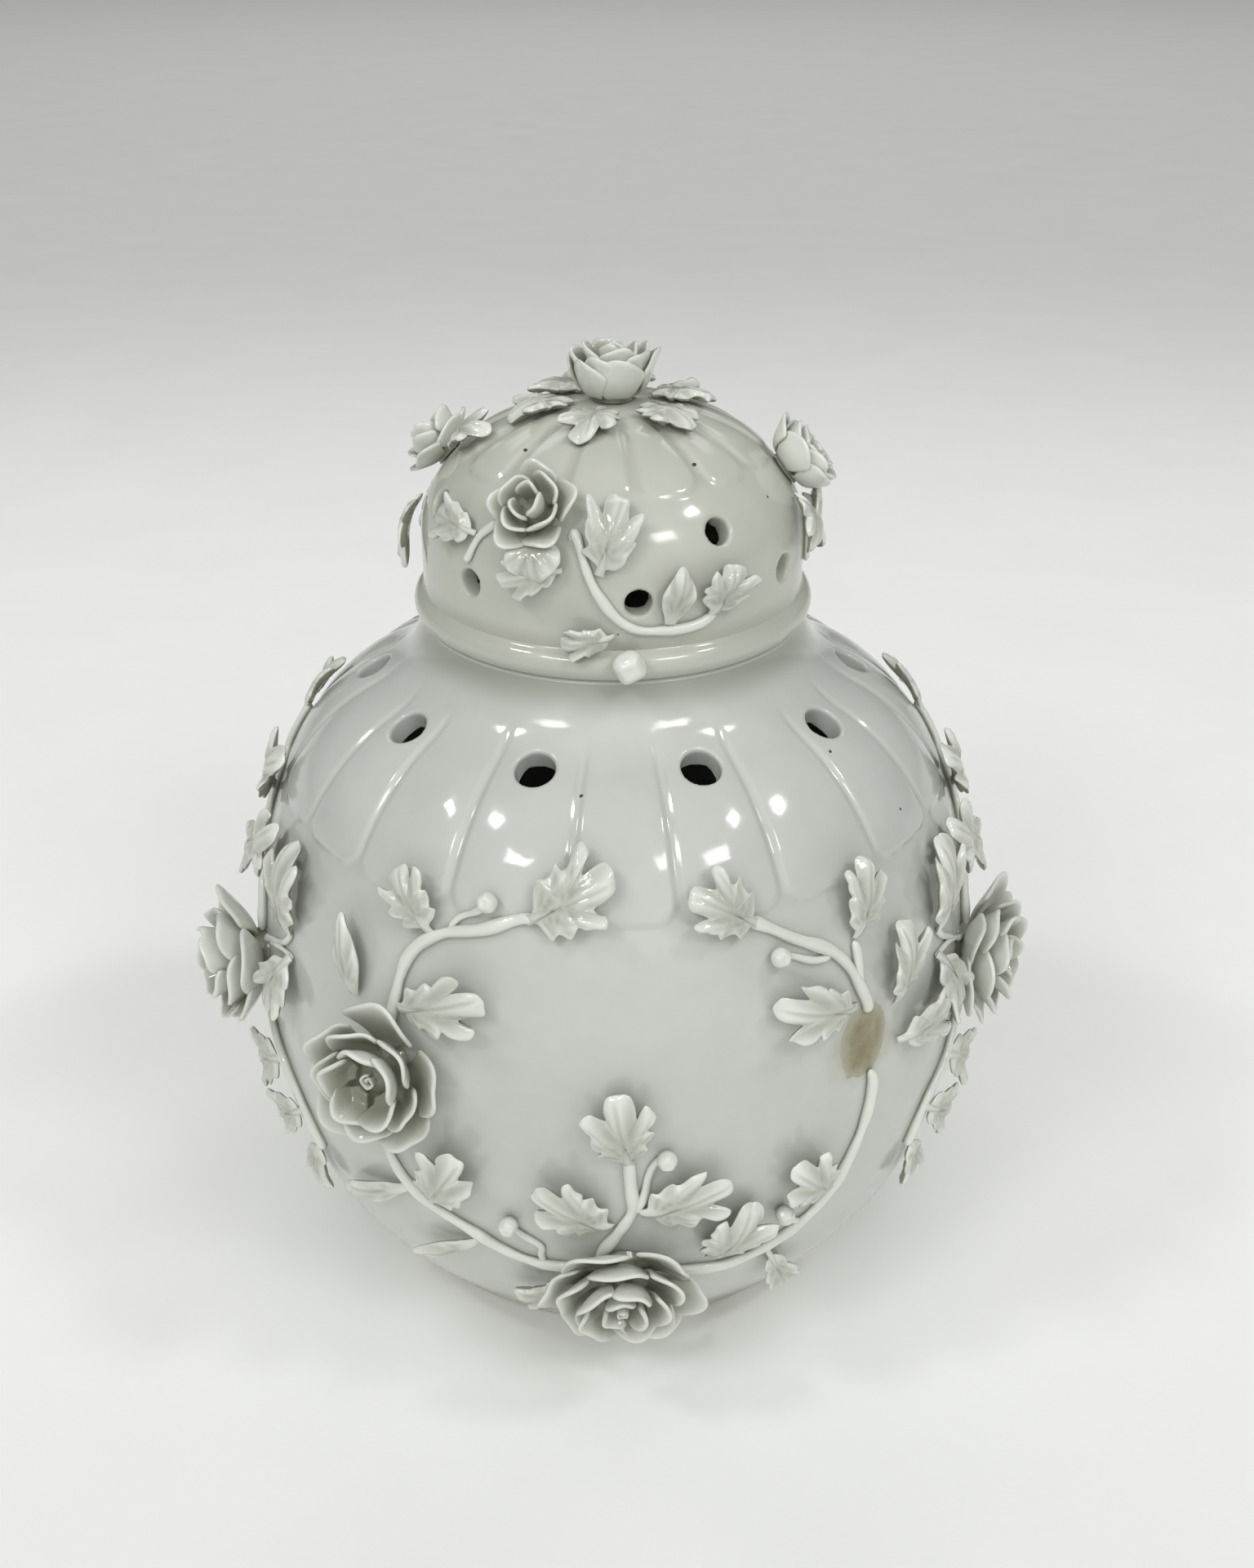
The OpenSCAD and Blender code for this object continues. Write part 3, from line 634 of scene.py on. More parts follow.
def rolled_stem(at, path, w, chance):
    """A clay stem rolled by hand and pressed on along a path, a little uneven and rounded at its ends."""
    line = smooth_path(path, 8)
    middle = at(line[:, 0], line[:, 1], 0)
    up = outward(at, line[:, 0], line[:, 1])
    ahead = unit(np.gradient(middle, axis=0))
    side = unit(np.cross(ahead, up))
    run = np.append(0, np.cumsum(np.linalg.norm(np.diff(middle, axis=0), axis=1)))
    left = np.minimum(run, run[-1] - run)
    end = np.sqrt(np.clip(1 - (1 - np.clip(left / (0.55 * w), 0, 1)) ** 2, 0.05, 1))
    phase = [chance.uniform(0, WHOLE_TURN) for _ in range(3)]
    wide = 0.92 + 0.12 * np.sin(run / 3.1 + phase[0]) + 0.06 * np.sin(run / 1.3 + phase[1])
    sway = 0.2 * w * np.sin(run / 4.7 + phase[2])
    sides = 14
    angle = np.linspace(0, 2 * math.pi, sides, endpoint=False)
    across = 0.5 * w * np.cos(angle)
    lift = 0.42 * w * np.sin(angle)
    size = (wide * end)[:, None, None]
    ring = (
        middle[:, None, :]
        + size * across[None, :, None] * side[:, None, :]
        + (size * lift[None, :, None] + 0.3 * w) * up[:, None, :]
        + (sway * np.clip(left / w, 0, 1))[:, None, None] * side[:, None, :]
    )
    faces = flipped(lathe_faces(len(line), sides))
    count = len(line) * sides
    faces += [tuple(range(sides)), tuple(range(count - 1, count - 1 - sides, -1))]
    # Painted shade along the side of the stem that lies on the wall
    glaze_and_shade = np.broadcast_to(0.75 * (1 - ease(np.sin(angle), -0.5, 0.3)), (len(line), sides))
    return ring.reshape(-1, 3), faces, glaze_and_shade.reshape(-1)


# Right half of a leaf from its stalk to its tip: share of the half width, share of the length
LOBED = [
    (0.16, 0.0), (0.16, 0.1), (0.45, 0.15), (0.74, 0.23), (0.68, 0.32), (0.86, 0.41), (0.94, 0.49),
    (0.8, 0.53), (0.86, 0.6), (1.0, 0.69), (1.02, 0.79), (0.84, 0.84), (0.6, 0.77), (0.44, 0.72),
    (0.44, 0.85), (0.38, 0.96), (0.16, 1.0), (0.0, 1.0),
]
SLIM = [
    (0.3, 0.0), (0.5, 0.12), (0.86, 0.3), (1.0, 0.52), (0.82, 0.7), (0.5, 0.86), (0.22, 0.97), (0.0, 1.0),
]
# Way of each finger of a leaf from its stalk, in degrees
FINGERS = np.array([0, 31, -31, 62, -62])
# Half width of a finger in degrees, and of a vein
FINGER_HALF = 17
VEIN_HALF = 0.5


def leaf_edge(half, chance):
    """The whole outline of a leaf, each half with its own slight unevenness."""
    sides = []
    for sign in (1, -1):
        broad = chance.uniform(0.88, 1.1)
        wob = [(x * broad * chance.uniform(0.9, 1.1), y + chance.uniform(-0.018, 0.018)) for x, y in half]
        wob[0], wob[-1] = half[0], half[-1]
        line = smooth_path(wob, 3)
        sides.append(line * [sign, 1])
    return np.concatenate([sides[0], sides[1][-2::-1]])


def pressed_leaf(at, root, way, size, wide, lift, half, chance):
    """A leaf pressed from a thin slab: veins scored from its stalk, lobes and tip lifting off the wall."""
    edge = leaf_edge(half, chance)
    count = len(edge)
    heart = np.array([0.0, 0.45])
    shares = np.array([0.1, 0.25, 0.42, 0.56, 0.68, 0.78, 0.87, 0.94, 0.98, 1.0])
    spokes = heart + shares[:, None, None] * (edge - heart)[None, :, :]
    flat = np.concatenate([spokes.reshape(-1, 2), heart[None, :]])
    reach = np.append(np.repeat(shares, count), 0)
    # The leaf starts a little way from its root
    start = 0.6
    s = start + flat[:, 1] * (size - start)
    bend = chance.uniform(-0.09, 0.09) * size
    x = flat[:, 0] * wide / 2 + bend * flat[:, 1] ** 2
    # Veins run along the fingers from a place near the stalk, and the leaf puffs up between them
    fan = s - start - 0.16 * size
    around = np.degrees(np.arctan2(x, fan))
    far = np.hypot(x, fan) / size
    vein = np.zeros(len(flat))
    for to in FINGERS:
        gap = np.abs(around - to) * np.pi / 180 * far * size
        vein = np.maximum(vein, np.exp(-((gap / VEIN_HALF) ** 2)))
    vein *= ease(far, 0.02, 0.12) * (1 - ease(reach, 0.8, 1.0))
    puff = np.cos(np.radians(around) * 11.6) * ease(far, 0.12, 0.4)
    # The edge is frilled, its sides curl up, and each finger bends its own way
    phase = chance.uniform(0, WHOLE_TURN)
    frill = 0.5 * np.sin(np.radians(around) * 6 + phase) * ease(reach, 0.5, 1.0)
    curl = chance.uniform(0.2, 1.2) * ease(reach, 0.5, 1.0) * ease(np.abs(x) / wide * 2, 0.4, 1.0)
    near = np.exp(-(((around[:, None] - FINGERS) / FINGER_HALF) ** 2)) + 1e-9
    bends = np.array([chance.uniform(-2.2, 1.8) for _ in FINGERS])
    curl = curl + near @ bends / near.sum(1) * ease(far, 0.45, 1.0)
    arch = 1.05 * lift * (1 - (1 - flat[:, 1] / 0.7) ** 2)
    rise = np.maximum(arch, 0) + 0.2 * np.abs(x) * flat[:, 1] + (frill + curl) * flat[:, 1]
    # Thickest in the middle, with a rounded edge
    thick = LEAF_T * (1.6 - 0.4 * reach**2)
    round_edge = np.sqrt(np.clip(1 - (np.clip(reach - 0.6, 0, None) / 0.4) ** 2, 0.02, 1))
    middle = SEAT + np.maximum(rise, 0) + thick / 2
    top = middle + thick / 2 * round_edge + (0.4 * puff - 0.25 * vein) * ease(thick * round_edge, 0.3, 1.2)
    low = middle - thick / 2 * round_edge
    az, t = walk(at, root, way, s, x)
    n = len(flat)
    faces = []
    for i in range(len(shares) - 1):
        for j in range(count):
            k = (j + 1) % count
            a, b, c, d = i * count + j, i * count + k, (i + 1) * count + k, (i + 1) * count + j
            faces += [(a, b, c, d), (n + d, n + c, n + b, n + a)]
    rim = (len(shares) - 1) * count
    for j in range(count):
        k = (j + 1) % count
        faces += [
            (n - 1, k, j),
            (2 * n - 1, n + j, n + k),
            (rim + j, rim + k, n + rim + k, n + rim + j),
        ]
    # Thick glaze in the veins; painted shade in the middle of the leaf and on its underside, and the puffed
    # tops painted lighter
    glaze_and_shade = np.concatenate([np.clip(0.4 * vein - 0.25 * puff + 0.45 * (1 - reach**2), 0, 1), np.ones(n)])
    return np.concatenate([at(az, t, top), at(az, t, low)]), faces, glaze_and_shade


def bud(centre, up, d, chance, folds=5, deep=0.07):
    """A rolled bud with a faint star of folds at its tip."""
    side = unit(np.cross(up, [0.3, 0.2, 0.9]))
    other = np.cross(up, side)
    rows, sides = 14, 20
    turn = np.linspace(0, 2 * math.pi, sides, endpoint=False) + chance.uniform(0, 1)
    tilt = np.radians(np.linspace(-89, 89, rows))
    fold = 1 + deep * np.cos(folds * turn[None, :]) * ease(np.sin(tilt), -0.6, 0.6)[:, None]
    r = d / 2 * np.cos(tilt)[:, None] * fold
    h = d / 2 * 1.06 * np.sin(tilt)[:, None] - 0.1 * d * ease(np.sin(tilt), 0.9, 1.0)[:, None]
    grid = (
        centre
        + (r * np.cos(turn))[..., None] * side
        + (r * np.sin(turn))[..., None] * other
        + (h * np.ones_like(r))[..., None] * up
    )
    faces = lathe_faces(rows, sides)
    faces += [tuple(range(sides - 1, -1, -1)), tuple(range((rows - 1) * sides, rows * sides))]
    # Painted shade on the half of the bud towards the wall
    glaze_and_shade = np.repeat(0.7 * (1 - ease(np.sin(tilt), -0.6, 0.1)), sides)
    return grid.reshape(-1, 3), faces, glaze_and_shade


def wall_bud(at, p, chance):
    """A bud that sits on the wall."""
    return bud(at(p[0], p[1], BUD_D / 2 + SEAT), outward(at, *p), BUD_D, chance)


def sheet_solid(outer, thick, pool_and_shade_out, pool_and_shade_in):
    """A closed thin sheet from a grid of outer points: thickened inwards, with its edges joined.

    Thick glaze and painted shade lie as pool_and_shade_out says on the outer face and as pool_and_shade_in
    says on the inner one.
    """
    rows, columns = outer.shape[:2]
    across = np.gradient(outer, axis=1)
    along = np.gradient(outer, axis=0)
    out = unit(np.cross(across, along))
    inner = outer - out * thick[..., None]
    ring = np.concatenate([outer, inner[:, ::-1]], axis=1)
    m = 2 * columns
    faces = lathe_faces(rows, m)
    last = (rows - 1) * m
    for j in range(columns - 1):
        faces.append((last + j, last + j + 1, last + m - 2 - j, last + m - 1 - j))
        faces.append((m - 1 - j, m - 2 - j, j + 1, j))
    glaze_and_shade = np.concatenate([pool_and_shade_out, pool_and_shade_in[:, ::-1]], axis=1)
    return ring.reshape(-1, 3), faces, glaze_and_shade.reshape(-1)


def petal(turn, foot, tip, half, thick, flare, cup, chance):
    """One petal about Z: part of a bowl from foot to tip, (radius, height), with a soft uneven rim."""
    u, v = np.meshgrid(np.linspace(-1, 1, 11), np.linspace(0, 1, 8))
    lop = chance.uniform(-0.06, 0.06)
    v = v * (1 - 0.27 * np.abs(u + lop) ** 2.1)
    spread = half * (0.45 + 0.85 * v - 0.3 * v * v) * chance.uniform(0.94, 1.06)
    a = np.radians(turn + u * spread)
    phase = chance.uniform(0, WHOLE_TURN)
    frill = 0.065 * np.sin(5 * u + phase) * v**3
    grow = chance.uniform(0.93, 1.04)
    r = foot[0] + (tip[0] * grow - foot[0]) * v**cup + flare * v**5
    r = r * (1 + 0.09 * u * v - 0.05 * u * u * v + frill)
    tall = tip[1] * chance.uniform(0.9, 1.03)
    z = foot[1] + (tall - foot[1]) * v**1.45 - 0.3 * max(flare, 0) * v**6
    z = z + 0.7 * np.cos(4 * u + phase) * v**3
    outer = np.stack([r * np.cos(a), r * np.sin(a), z], -1)
    # Painted shade deep in the cup and at the foot of each petal, over thick glaze
    pool_and_shade_out, pool_and_shade_in = np.clip(0.7 - v, 0, 1), np.clip(1.0 - v**4, 0, 1)
    return sheet_solid(outer, thick * (1.0 - 0.2 * v), pool_and_shade_out, pool_and_shade_in)


def rolled_heart(radius, low, high, chance):
    """The innermost petal, rolled up like a scroll."""
    u, v = np.meshgrid(np.linspace(0, 1, 22), np.linspace(0, 1, 5))
    a = chance.uniform(0, WHOLE_TURN) + u * math.radians(500)
    r = radius * (1 - 0.62 * u) * (0.75 + 0.3 * v)
    z = low + (high - low) * v * (1 - 0.2 * u) + 0.25 * np.sin(3 * a) * v
    outer = np.stack([r * np.cos(a), r * np.sin(a), z], -1)
    # Painted shade low in the rolled heart
    pool_and_shade_out, pool_and_shade_in = np.clip(0.8 - v, 0, 1), np.clip(1.1 - v, 0, 1)
    return sheet_solid(outer, np.full(u.shape, 0.32 * radius), pool_and_shade_out, pool_and_shade_in)


# Size that the rows of petals below are drawn for
ROSE_D = 37
ROSE_H = 16
# Rows of petals, outermost first: how many, first turn, foot, tip, half angle, thickness, flare, cup;
# then the rolled heart: radius, foot and top, or none where the middle is a dark hole
OPEN_ROSE = (
    [
        (5, 0, (4.6, 1.2), (17.6, 8.6), 41, 1.3, 0.7, 0.75),
        (5, 37, (4.4, 2.6), (13.6, 11.6), 42, 1.3, 0.6, 0.65),
        (5, 12, (3.8, 6.4), (9.4, 14.8), 48, 1.4, 0.5, 0.42),
    ],
    (2.2, 6.4, 9.4),
)
FULL_ROSE = (
    [
        (6, 0, (4.6, 1.2), (18.0, 8.0), 36, 1.3, 0.9, 0.75),
        (5, 37, (4.4, 2.6), (13.8, 11.6), 42, 1.3, 0.8, 0.65),
        (5, 12, (3.4, 6.4), (9.8, 14.4), 44, 1.3, 0.8, 0.45),
        (3, 50, (1.8, 7.0), (5.2, 14.2), 62, 1.4, 0.5, 0.5),
    ],
    (1.7, 7.4, 12.6),
)
LOOSE_ROSE = (
    [
        (5, 0, (4.6, 1.0), (17.6, 7.4), 42, 1.4, 1.2, 0.8),
        (4, 30, (4.4, 2.6), (12.6, 13.0), 52, 1.4, 0.3, 0.55),
        (3, 80, (3.0, 4.2), (7.2, 15.6), 66, 1.4, 0.0, 0.42),
    ],
    None,
)
GLOBE_ROSE = (
    [
        (5, 0, (5.0, 0.8), (16.8, 13.4), 47, 1.4, 0.7, 0.42),
        (5, 33, (4.6, 2.0), (14.4, 15.0), 44, 1.4, 0.9, 0.42),
        (4, 10, (3.6, 6.0), (10.0, 15.8), 54, 1.4, 0.5, 0.42),
        (2, 60, (2.0, 7.0), (5.6, 15.4), 80, 1.4, 0.2, 0.5),
    ],
    (1.9, 7.0, 13.0),
)


def modelled_rose(origin, axes, d, h, form, chance):
    """A rose built up petal by petal on a small cone, d across and h high."""
    grow = np.array([d / ROSE_D, d / ROSE_D, h / ROSE_H])
    # A small rose has thicker petals for its size
    stout = 0.55 + 0.45 * ROSE_D / d
    rows, heart = form
    # A small cone under the petals, in full painted shade
    sheets = [turned([(7.2, 0.0), (6.2, 2.5), (4.6, 6.2), (AXIS_R, 7.4)], 24, 1.0)]
    for count, first, foot, tip, half, thick, flare, cup in rows:
        for i in range(count):
            turn = first + 360 / count * i + chance.uniform(-8, 8)
            sheets.append(petal(turn, foot, tip, half, thick * stout, flare, cup, chance))
    if heart:
        sheets.append(rolled_heart(*heart, chance))
    return [((points * grow) @ axes + origin, faces, glaze_and_shade) for points, faces, glaze_and_shade in sheets]


# Layout: paths of (azimuth, height) with a share of the stem's width; and leaves of root, direction,
# length, width, lift, and form where it is not lobed
FACE_STEMS = {
    "left_branch": [
        ([(-34, 93), (-34, 101), (-31, 117), (-26, 125), (-19, 128), (-14, 130), (-11.5, 130.8)], 1.0),
        ([(-25, 125.8), (-23.5, 128.5), (-21, 130.5), (-19, 132.5)], 0.6),
    ],
    "left_garland": [
        ([(-34.5, 86), (-35, 80), (-35, 66), (-29, 56), (-19, 47), (-12, 43), (-8, 42), (-3, 41.5)], 1.0),
        ([(-11, 42.8), (-11, 45.5), (-11, 49), (-14.5, 53), (-15.2, 56)], 0.6),
    ],
    "sprig": [
        ([(-2.2, 45), (-1.6, 50), (0.2, 56), (2.2, 61.5), (2.6, 67), (2.2, 73), (1.7, 77)], 1.0),
        ([(2.3, 61), (3.8, 66), (4.6, 71), (5.6, 74.5), (7, 77)], 0.7),
    ],
    "right_garland": [
        ([(4, 41), (10, 40), (18, 39), (25, 42), (33, 53), (38, 65), (40, 80), (39.5, 84.5)], 1.0),
        ([(29, 46.6), (27.5, 48.5), (26, 51), (25, 53.7)], 0.6),
    ],
    "right_branch": [
        ([(38.5, 100.5), (39, 104), (35, 114), (31, 120), (25, 125.5), (22, 127.5), (20.3, 128.6)], 1.0),
        ([(38, 106), (38, 112), (37.5, 118)], 0.8),
        ([(33, 117), (30, 117.5), (26.5, 119.5), (24, 120.5)], 0.6),
    ],
}
FACE_LEAVES = {
    "left_branch_leaves": [
        ((-13.5, 130), 66, 20, 15, 2.5),
        ((-27.5, 124), -38, 15, 10, 3),
        ((-32.5, 106), 68, 24, 14, 3),
        ((-40, 104), -12, 19, 7, 2, SLIM),
    ],
    "left_garland_leaves": [
        ((-28, 55), 30, 23, 13, 3),
        ((-31, 58), -112, 25, 6, 2, SLIM),
        ((-20.5, 47), -120, 20, 5, 2, SLIM),
        ((-7, 36), -108, 14, 9, 3),
    ],
    "sprig_leaves": [
        ((2, 74.5), -10, 21, 15, 2.5),
        ((-0.2, 57), -56, 21, 14, 2.5),
        ((3, 61), 66, 22, 15, 2.5),
        ((14, 43), 22, 21, 15, 3),
    ],
    "right_garland_leaves": [
        ((33.5, 55), -45, 20, 13, 3),
        ((24, 40), 155, 17, 9, 3),
    ],
    "right_branch_leaves": [
        ((22, 127.5), -62, 17, 13, 2.5),
        ((37, 103), -72, 24, 13, 3),
        ((37.5, 118), 18, 17, 11, 3),
        ((45, 98), 3, 20, 11, 3),
        ((45, 88), 80, 20, 12, 3),
    ],
}
FACE_BUDS = [(-19, 132.5), (-15.2, 56), (7, 77), (25, 53.7), (24, 120.5)]
SIDE_STEMS = [
    ([(73.5, 94), (74, 103), (78, 112), (86, 119), (92, 129), (95, 137), (95.5, 139)], 1.0),
    ([(72, 82), (70, 74), (64, 66), (57, 60), (53, 52), (53, 50)], 1.0),
    ([(71, 94), (65, 99), (60, 103.5), (58, 107)], 0.6),
    ([(67, 97), (62, 100), (57, 101)], 0.55),
]
SIDE_LEAVES = [
    ((58, 106), 10, 22, 15, 3),
    ((57, 102), 160, 19, 14, 3),
    ((76, 110), -38, 21, 15, 3),
    ((81.5, 113.8), 138, 19, 14, 3),
    ((88, 122), -46, 19, 14, 3),
    ((95, 137.5), 12, 14, 13, 1.5),
    ((64, 66), 120, 18, 13, 2.5),
    ((56.5, 58), 122, 16, 12, 2.5),
    ((53, 52), 170, 15, 9, 2),
]
LID_SPRAY_STEM = [([(-12, 26), (-8, 14), (-2, -1), (5, -9), (14, -10.5), (24, -9), (30, -5)], 0.8)]
LID_SPRAY_LEAVES = [
    ((-4, 8), 18, 16, 13, 2),
    ((15, -9), 12, 16, 7, 2, SLIM),
    ((27, -8), 22, 14, 12, 2),
    ((1, -10.5), -98, 12, 7, 2),
    ((-22, 23), 176, 10, 11, 3, SLIM),
    ((-13, 11), -108, 14, 7, 2),
]
LID_STEMS = {
    "lid_left_stems": [([(-37, 24), (-42, 18), (-45, 6)], 0.7)],
    "lid_right_stems": [([(84, 14), (81, 4), (82, -8)], 0.7)],
}
LID_LEAVES = {
    "lid_left_leaves": [
        ((-42, 18), -85, 13, 8, 2),
        ((-90, 38), 50, 13, 10, 2),
        ((-92, 15), 155, 15, 11, 2.5),
        ((-112, 14), -165, 14, 10, 2),
    ],
    "lid_right_leaves": [
        ((76, 22), -150, 14, 10, 2.5),
        ((83, 0), 70, 14, 10, 2),
        ((92, 14), 165, 13, 9, 2),
    ],
    "knob_leaves": [((60 * i - 14, 79), 180, 16, 12, 0.6) for i in range(6)],
}
# Roses: place, turn, lean to the right and up, width, height and form
VASE_ROSES = {
    "rose_front_left": ((-34, 90), 10, (9, 5), 37, 16, OPEN_ROSE),
    "rose_front_low": ((1, 41), 55, (0, 0), 39, 16, FULL_ROSE),
    "rose_side_left": ((-74, 87), 30, (5, 0), 37, 18, OPEN_ROSE),
    "rose_side_right": ((73, 89), 70, (-8, 0), 37, 16, FULL_ROSE),
    "rose_back_left": ((146, 90), 40, (9, 5), 37, 16, OPEN_ROSE),
    "rose_back_right": ((217, 92), 25, (-9, 5), 37, 16, FULL_ROSE),
    "rose_back_low": ((181, 41), 15, (0, 10), 37, 16, OPEN_ROSE),
}
# Roses on the cover: place, turn and form; width and height are the same for all but the knob
LID_ROSE_SIZE = (21, 10)
KNOB_ROSE_SIZE = (23, 13)
LID_ROSES = {
    "lid_rose_front": ((-24, 30), 20, LOOSE_ROSE),
    "lid_rose_left": ((-104, 30), 50, LOOSE_ROSE),
    "lid_rose_right": ((88, 28), 5, GLOBE_ROSE),
    "lid_rose_back": ((182, 30), 35, OPEN_ROSE),
}


def turned_place(p, turn, hand=1):
    """A layout place turned round the axis, or mirrored where hand is -1."""
    return (hand * p[0] + turn, p[1])


def lay_stems(node, at, runs, body, turn=0, hand=1):
    """Makes a node's stems, each a path and its share of the full stem width."""
    chance = random.Random(node)
    sheets = []
    for path, share in runs:
        places = [turned_place(p, turn, hand) for p in path]
        sheets.append(rolled_stem(at, places, share * STEM_W, chance))
    make(node + "_rolled", sheets, flower_glaze, body, (node,))


def lay_leaves(node, at, leaves, body, turn=0, hand=1):
    """Makes a node's leaves."""
    chance = random.Random(node)
    sheets = []
    for p, way, size, wide, lift, *form in leaves:
        root = turned_place(p, turn, hand)
        half = form[0] if form else LOBED
        sheets.append(pressed_leaf(at, root, hand * way, size, wide, lift, half, chance))
    make(node + "_pressed", sheets, flower_glaze, body, (node,))


for face, turn in (("front_", 0), ("back_", 180)):
    for name, runs in FACE_STEMS.items():
        lay_stems(face + name, vase_at, runs, "vase", turn)
    for name, leaves in FACE_LEAVES.items():
        lay_leaves(face + name, vase_at, leaves, "vase", turn)
    chance = random.Random(face)
    buds = [wall_bud(vase_at, turned_place(p, turn), chance) for p in FACE_BUDS]
    make(face + "buds_rolled", buds, flower_glaze, "vase", (face + "buds",), 1)
for side, hand in (("side_left", -1), ("side_right", 1)):
    lay_stems(side + "_stems", vase_at, SIDE_STEMS, "vase", 0, hand)
    lay_leaves(side + "_leaves", vase_at, SIDE_LEAVES, "vase", 0, hand)
for face, turn in (("lid_front", 0), ("lid_back", LID_BACK)):
    lay_stems(face + "_stems", lid_at, LID_SPRAY_STEM, "cover", turn)
    lay_leaves(face + "_leaves", lid_at, LID_SPRAY_LEAVES, "cover", turn)
for name, runs in LID_STEMS.items():
    lay_stems(name, lid_at, runs, "cover")
for name, leaves in LID_LEAVES.items():
    lay_leaves(name, lid_at, leaves, "cover")

for name, (p, turn, lean, d, h, form) in VASE_ROSES.items():
    origin, axes = standing_on(vase_at, p, turn, lean)
    sheets = modelled_rose(origin, axes, d, h, form, random.Random(name))
    make(name + "_modelled", sheets, flower_glaze, "vase", (name,), 1)
for name, (p, turn, form) in LID_ROSES.items():
    origin, axes = standing_on(lid_at, p, turn)
    sheets = modelled_rose(origin, axes, *LID_ROSE_SIZE, form, random.Random(name))
    make(name + "_modelled", sheets, flower_glaze, "cover", (name,), 1)
dome_top = np.array([0, 0, LID_TOP + DOME_H + SEAT])
sheets = modelled_rose(dome_top, np.eye(3), *KNOB_ROSE_SIZE, GLOBE_ROSE, random.Random("knob"))
make("knob_rose_modelled", sheets, flower_glaze, "cover", ("knob_rose",), 1)

bud_way = towards(4)
bud_at = bud_way * (LID_R + BEAD_OUT + 0.5 * BUD_D) + [0, 0, NECK_Z + 0.8 * BEAD_H]
bead_bud = bud(bud_at, bud_way, 1.6 * BUD_D, random.Random("bead"), folds=4, deep=0.13)
make("lid_bud_rolled", [bead_bud], flower_glaze, "cover", ("lid_bud",), 1)


def scar_sheet():
    """The rough place where a rose has broken away: a low crust that thins out into the glaze."""
    chance = random.Random("scar")
    edge = smooth_path([(-5, -8), (2, -9), (6, -4), (7, 4), (3, 9), (-4, 8), (-7, 1), (-5, -8)], 6)[:-1]
    shares = np.linspace(0.02, 1, 12)
    flat = (shares[:, None, None] * edge[None, :, :]).reshape(-1, 2)
    reach = np.repeat(shares, len(edge))
    thin = 1 - ease(reach, 0.55, 1.0)
    ragged = 1 + np.array([chance.uniform(-0.04, 0.04) for _ in flat])
    crust = 0.25 + 0.12 * np.sin(flat[:, 0] * 1.3) + 0.12 * np.sin(flat[:, 1] * 1.1 + flat[:, 0])
    az, t = walk(vase_at, SCAR_AT, 0, flat[:, 1] * ragged, flat[:, 0] * ragged)
    points = vase_at(az, t, crust * thin + 0.03)
    faces = lathe_faces(len(shares), len(edge)) + [tuple(range(len(edge) - 1, -1, -1))]
    return points, faces, 1 - thin


make("rose_scar_broken", [scar_sheet()], broken, "vase", ("rose_scar",))


def iron_specks(at, places):
    """Iron grains burnt into the glaze, as low discs."""
    sheets = []
    sides = 10
    turn = np.linspace(0, 2 * math.pi, sides, endpoint=False)
    for (az, t), d in places:
        rings = [(0.5 * d, 0.01), (0.35 * d, 0.06), (0.05 * d, 0.09)]
        points = []
        for r, h in rings:
            a, y = walk(at, (az, t), 0, r * np.cos(turn), r * np.sin(turn))
            points.append(at(a, y, h))
        sheets.append((np.concatenate(points), flipped(lathe_faces(len(rings), sides)), 0.0))
    return sheets


VASE_SPECKS = [((-6.4, 150.8), 0.9), ((-79.2, 153.2), 1.0), ((49.5, 150.1), 0.8), ((56.8, 136.2), 0.7)]
LID_SPECKS = [((36, 48), 1.0), ((-44.5, 53), 0.9), ((59.4, 27.4), 0.6)]
make("vase_iron_specks", iron_specks(vase_at, VASE_SPECKS), iron, "vase")
make("lid_iron_specks", iron_specks(lid_at, LID_SPECKS), iron, "cover")


# Stage, light and camera


def paper_sweep():
    """Pale studio paper: matt and faintly mottled, with a fibre drawn coarser than the real one."""
    made = bpy.data.materials.new("studio_paper")
    tree = empty_tree(made)
    place = add(tree, "TexCoord").outputs["Object"]
    mottle = add(tree, "TexNoise", Vector=place, Scale=1 / (70 * MM), Detail=4.0)
    shade = add(tree, "ValToRGB", Fac=mottle, stops=[(0.3, "#f6f7f4"), (0.7, "#f9faf8")])
    fibre = add(tree, "TexNoise", Vector=place, Scale=1 / (2 * MM), Detail=3.0)
    bump = add(tree, "Bump", Distance=0.03 * MM, Height=fibre)
    shader = add(tree, "BsdfPrincipled", Base_Color=shade, Roughness=0.85, Normal=bump)
    add(tree, "OutputMaterial", Surface=shader)
    return made


def studio_floor():
    """A round floor of paper, in rings of these radii in metres."""
    rings = [0.05, 0.3, 0.6, 1.0, 1.6, 2.6, 4.0, 5.4]
    sides = 64
    points, faces, _ = turned([(r / MM, 0.0) for r in rings], sides)
    mesh = bpy.data.meshes.new("studio_floor")
    mesh.from_pydata((points * MM).tolist(), [], flipped(faces) + [tuple(range(sides))])
    mesh.materials.append(paper_sweep())
    made = bpy.data.objects.new("studio_floor", mesh)
    scene.collection.objects.link(made)


studio_floor()


def lamp(name, az, el, away, wide, tall, watts, spread=180, aim=(0, 0, 0.12)):
    """A soft lamp facing a place from an azimuth, an elevation and metres away, shuttered to a spread."""
    light = bpy.data.lights.new(name, "AREA")
    light.shape = "RECTANGLE"
    light.size = wide
    light.size_y = tall
    light.energy = watts
    light.spread = math.radians(spread)
    made = bpy.data.objects.new(name, light)
    way = Vector(towards(az, el))
    made.location = Vector(aim) + way * away
    made.rotation_euler = (-way).to_track_quat("-Z", "Y").to_euler()
    made.visible_camera = False
    scene.collection.objects.link(made)
    return made


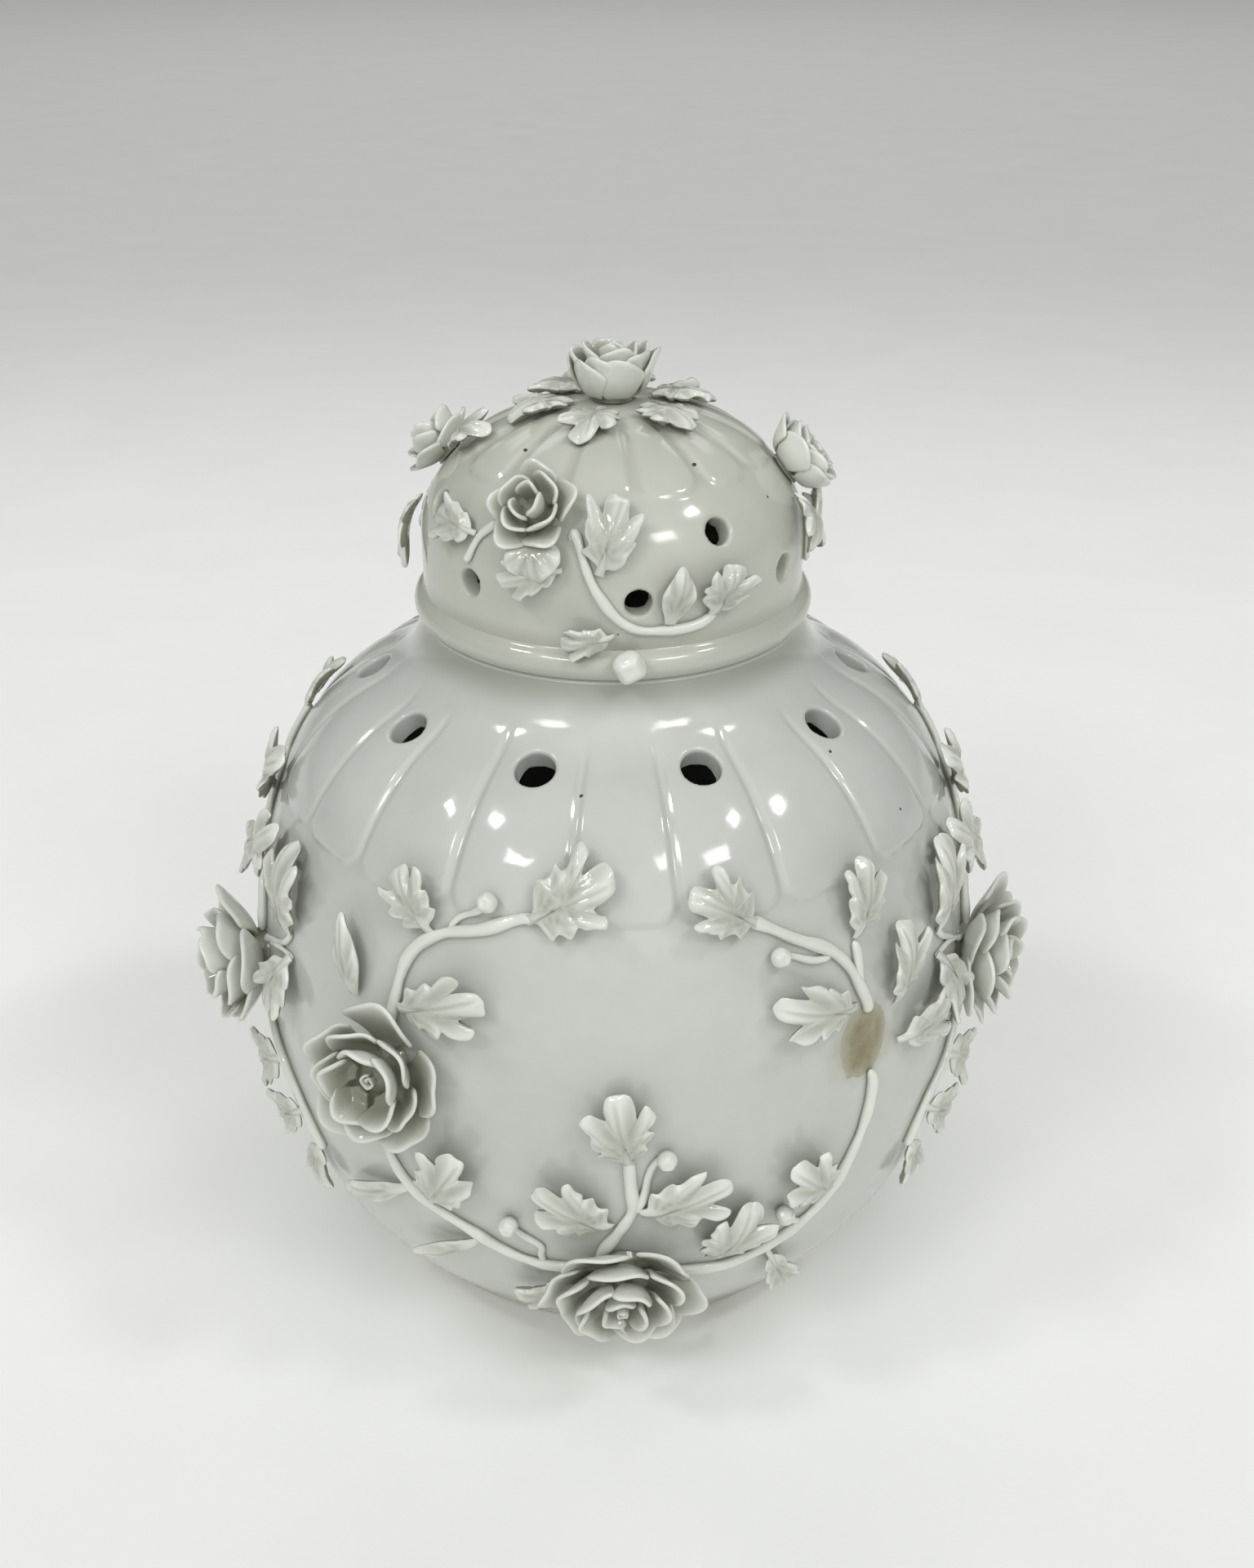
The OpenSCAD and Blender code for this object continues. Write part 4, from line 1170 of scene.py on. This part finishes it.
for side in (-1, 1):
    hand = "left" if side < 0 else "right"
    lamp("side_lamp_" + hand, az=72 * side, el=52, away=2.5, wide=0.36, tall=0.2, watts=7.5)
    lamp("front_lamp_" + hand, az=36 * side, el=43, away=1.1, wide=0.26, tall=0.15, watts=1.4)
    # A weak lamp lifts the back. The glaze does not mirror it, which keeps the shoulder free of streaks.
    back_lamp = lamp(
        "back_lamp_" + hand, az=180 - 48 * side, el=15, away=1.5, wide=0.5, tall=0.3, watts=0.3, spread=60
    )
    back_lamp.visible_glossy = False
# From behind and above, one lamp lights the paper near the vase and one lights the paper further off
lamp("paper_lamp", az=180, el=60, away=1.1, wide=1.2, tall=0.4, watts=0.9, spread=110, aim=(0, 0.25, 0.05))
lamp("backdrop_lamp", az=180, el=85, away=2.5, wide=3.0, tall=2.6, watts=5, spread=120, aim=(0, 2.9, 0))


def studio_world():
    """A white studio: light from the wall and ceiling behind the camera, less from behind the vase.

    Seen by the camera, the wall is pale grey, and as dim as the far floor where they meet.
    """
    world = bpy.data.worlds.new("studio")
    tree = empty_tree(world)
    way = add(tree, "TexCoord").outputs["Generated"]
    # A little light from all round, and more from an azimuth and elevation with a strength
    level = 0.02
    for az, el, strength in ((0, 20, 0.45), (0, 50, 0.78), (180, 45, 0.06)):
        near = add(tree, "VectorMath", way, towards(az, el).tolist(), operation="DOT_PRODUCT")
        glow = add(
            tree, "MapRange", interpolation_type="SMOOTHSTEP",
            Value=near, From_Min=0.4, From_Max=1.0, To_Max=strength,
        )
        level = add(tree, "Math", level, glow, operation="ADD")
    light = add(tree, "Background", Color=linear("#fafaf9"), Strength=level)
    height = add(tree, "SeparateXYZ", Vector=way)
    paper = add(tree, "ValToRGB", Fac=height.outputs["Z"], stops=[(0.0, "#a8aaa7"), (0.3, "#cacbc8")])
    wall = add(tree, "Background", Color=paper)
    seen = add(tree, "LightPath").outputs["Is Camera Ray"]
    sky = add(tree, "MixShader", seen, light, wall)
    add(tree, "OutputWorld", Surface=sky)
    scene.world = world


studio_world()

# The camera was fitted to the photo: its place in metres, and degrees down and to the right
CAMERA_AT = (0, -0.381, 0.325)
CAMERA_DOWN = 28.2
CAMERA_RIGHT = 0.5
eye = bpy.data.cameras.new("camera")
eye.lens = 39.375
eye.sensor_width = 36.0
eye.clip_end = 50.0
camera = bpy.data.objects.new("camera", eye)
pitch, yaw = math.radians(CAMERA_DOWN), math.radians(CAMERA_RIGHT)
ahead = Vector((math.sin(yaw) * math.cos(pitch), math.cos(yaw) * math.cos(pitch), -math.sin(pitch)))
right = Vector((math.cos(yaw), -math.sin(yaw), 0))
above = right.cross(ahead)
facing = Matrix((right, above, -ahead)).transposed().to_4x4()
camera.matrix_world = Matrix.Translation(CAMERA_AT) @ facing
scene.collection.objects.link(camera)
scene.camera = camera
scene.view_settings.view_transform = "Standard"
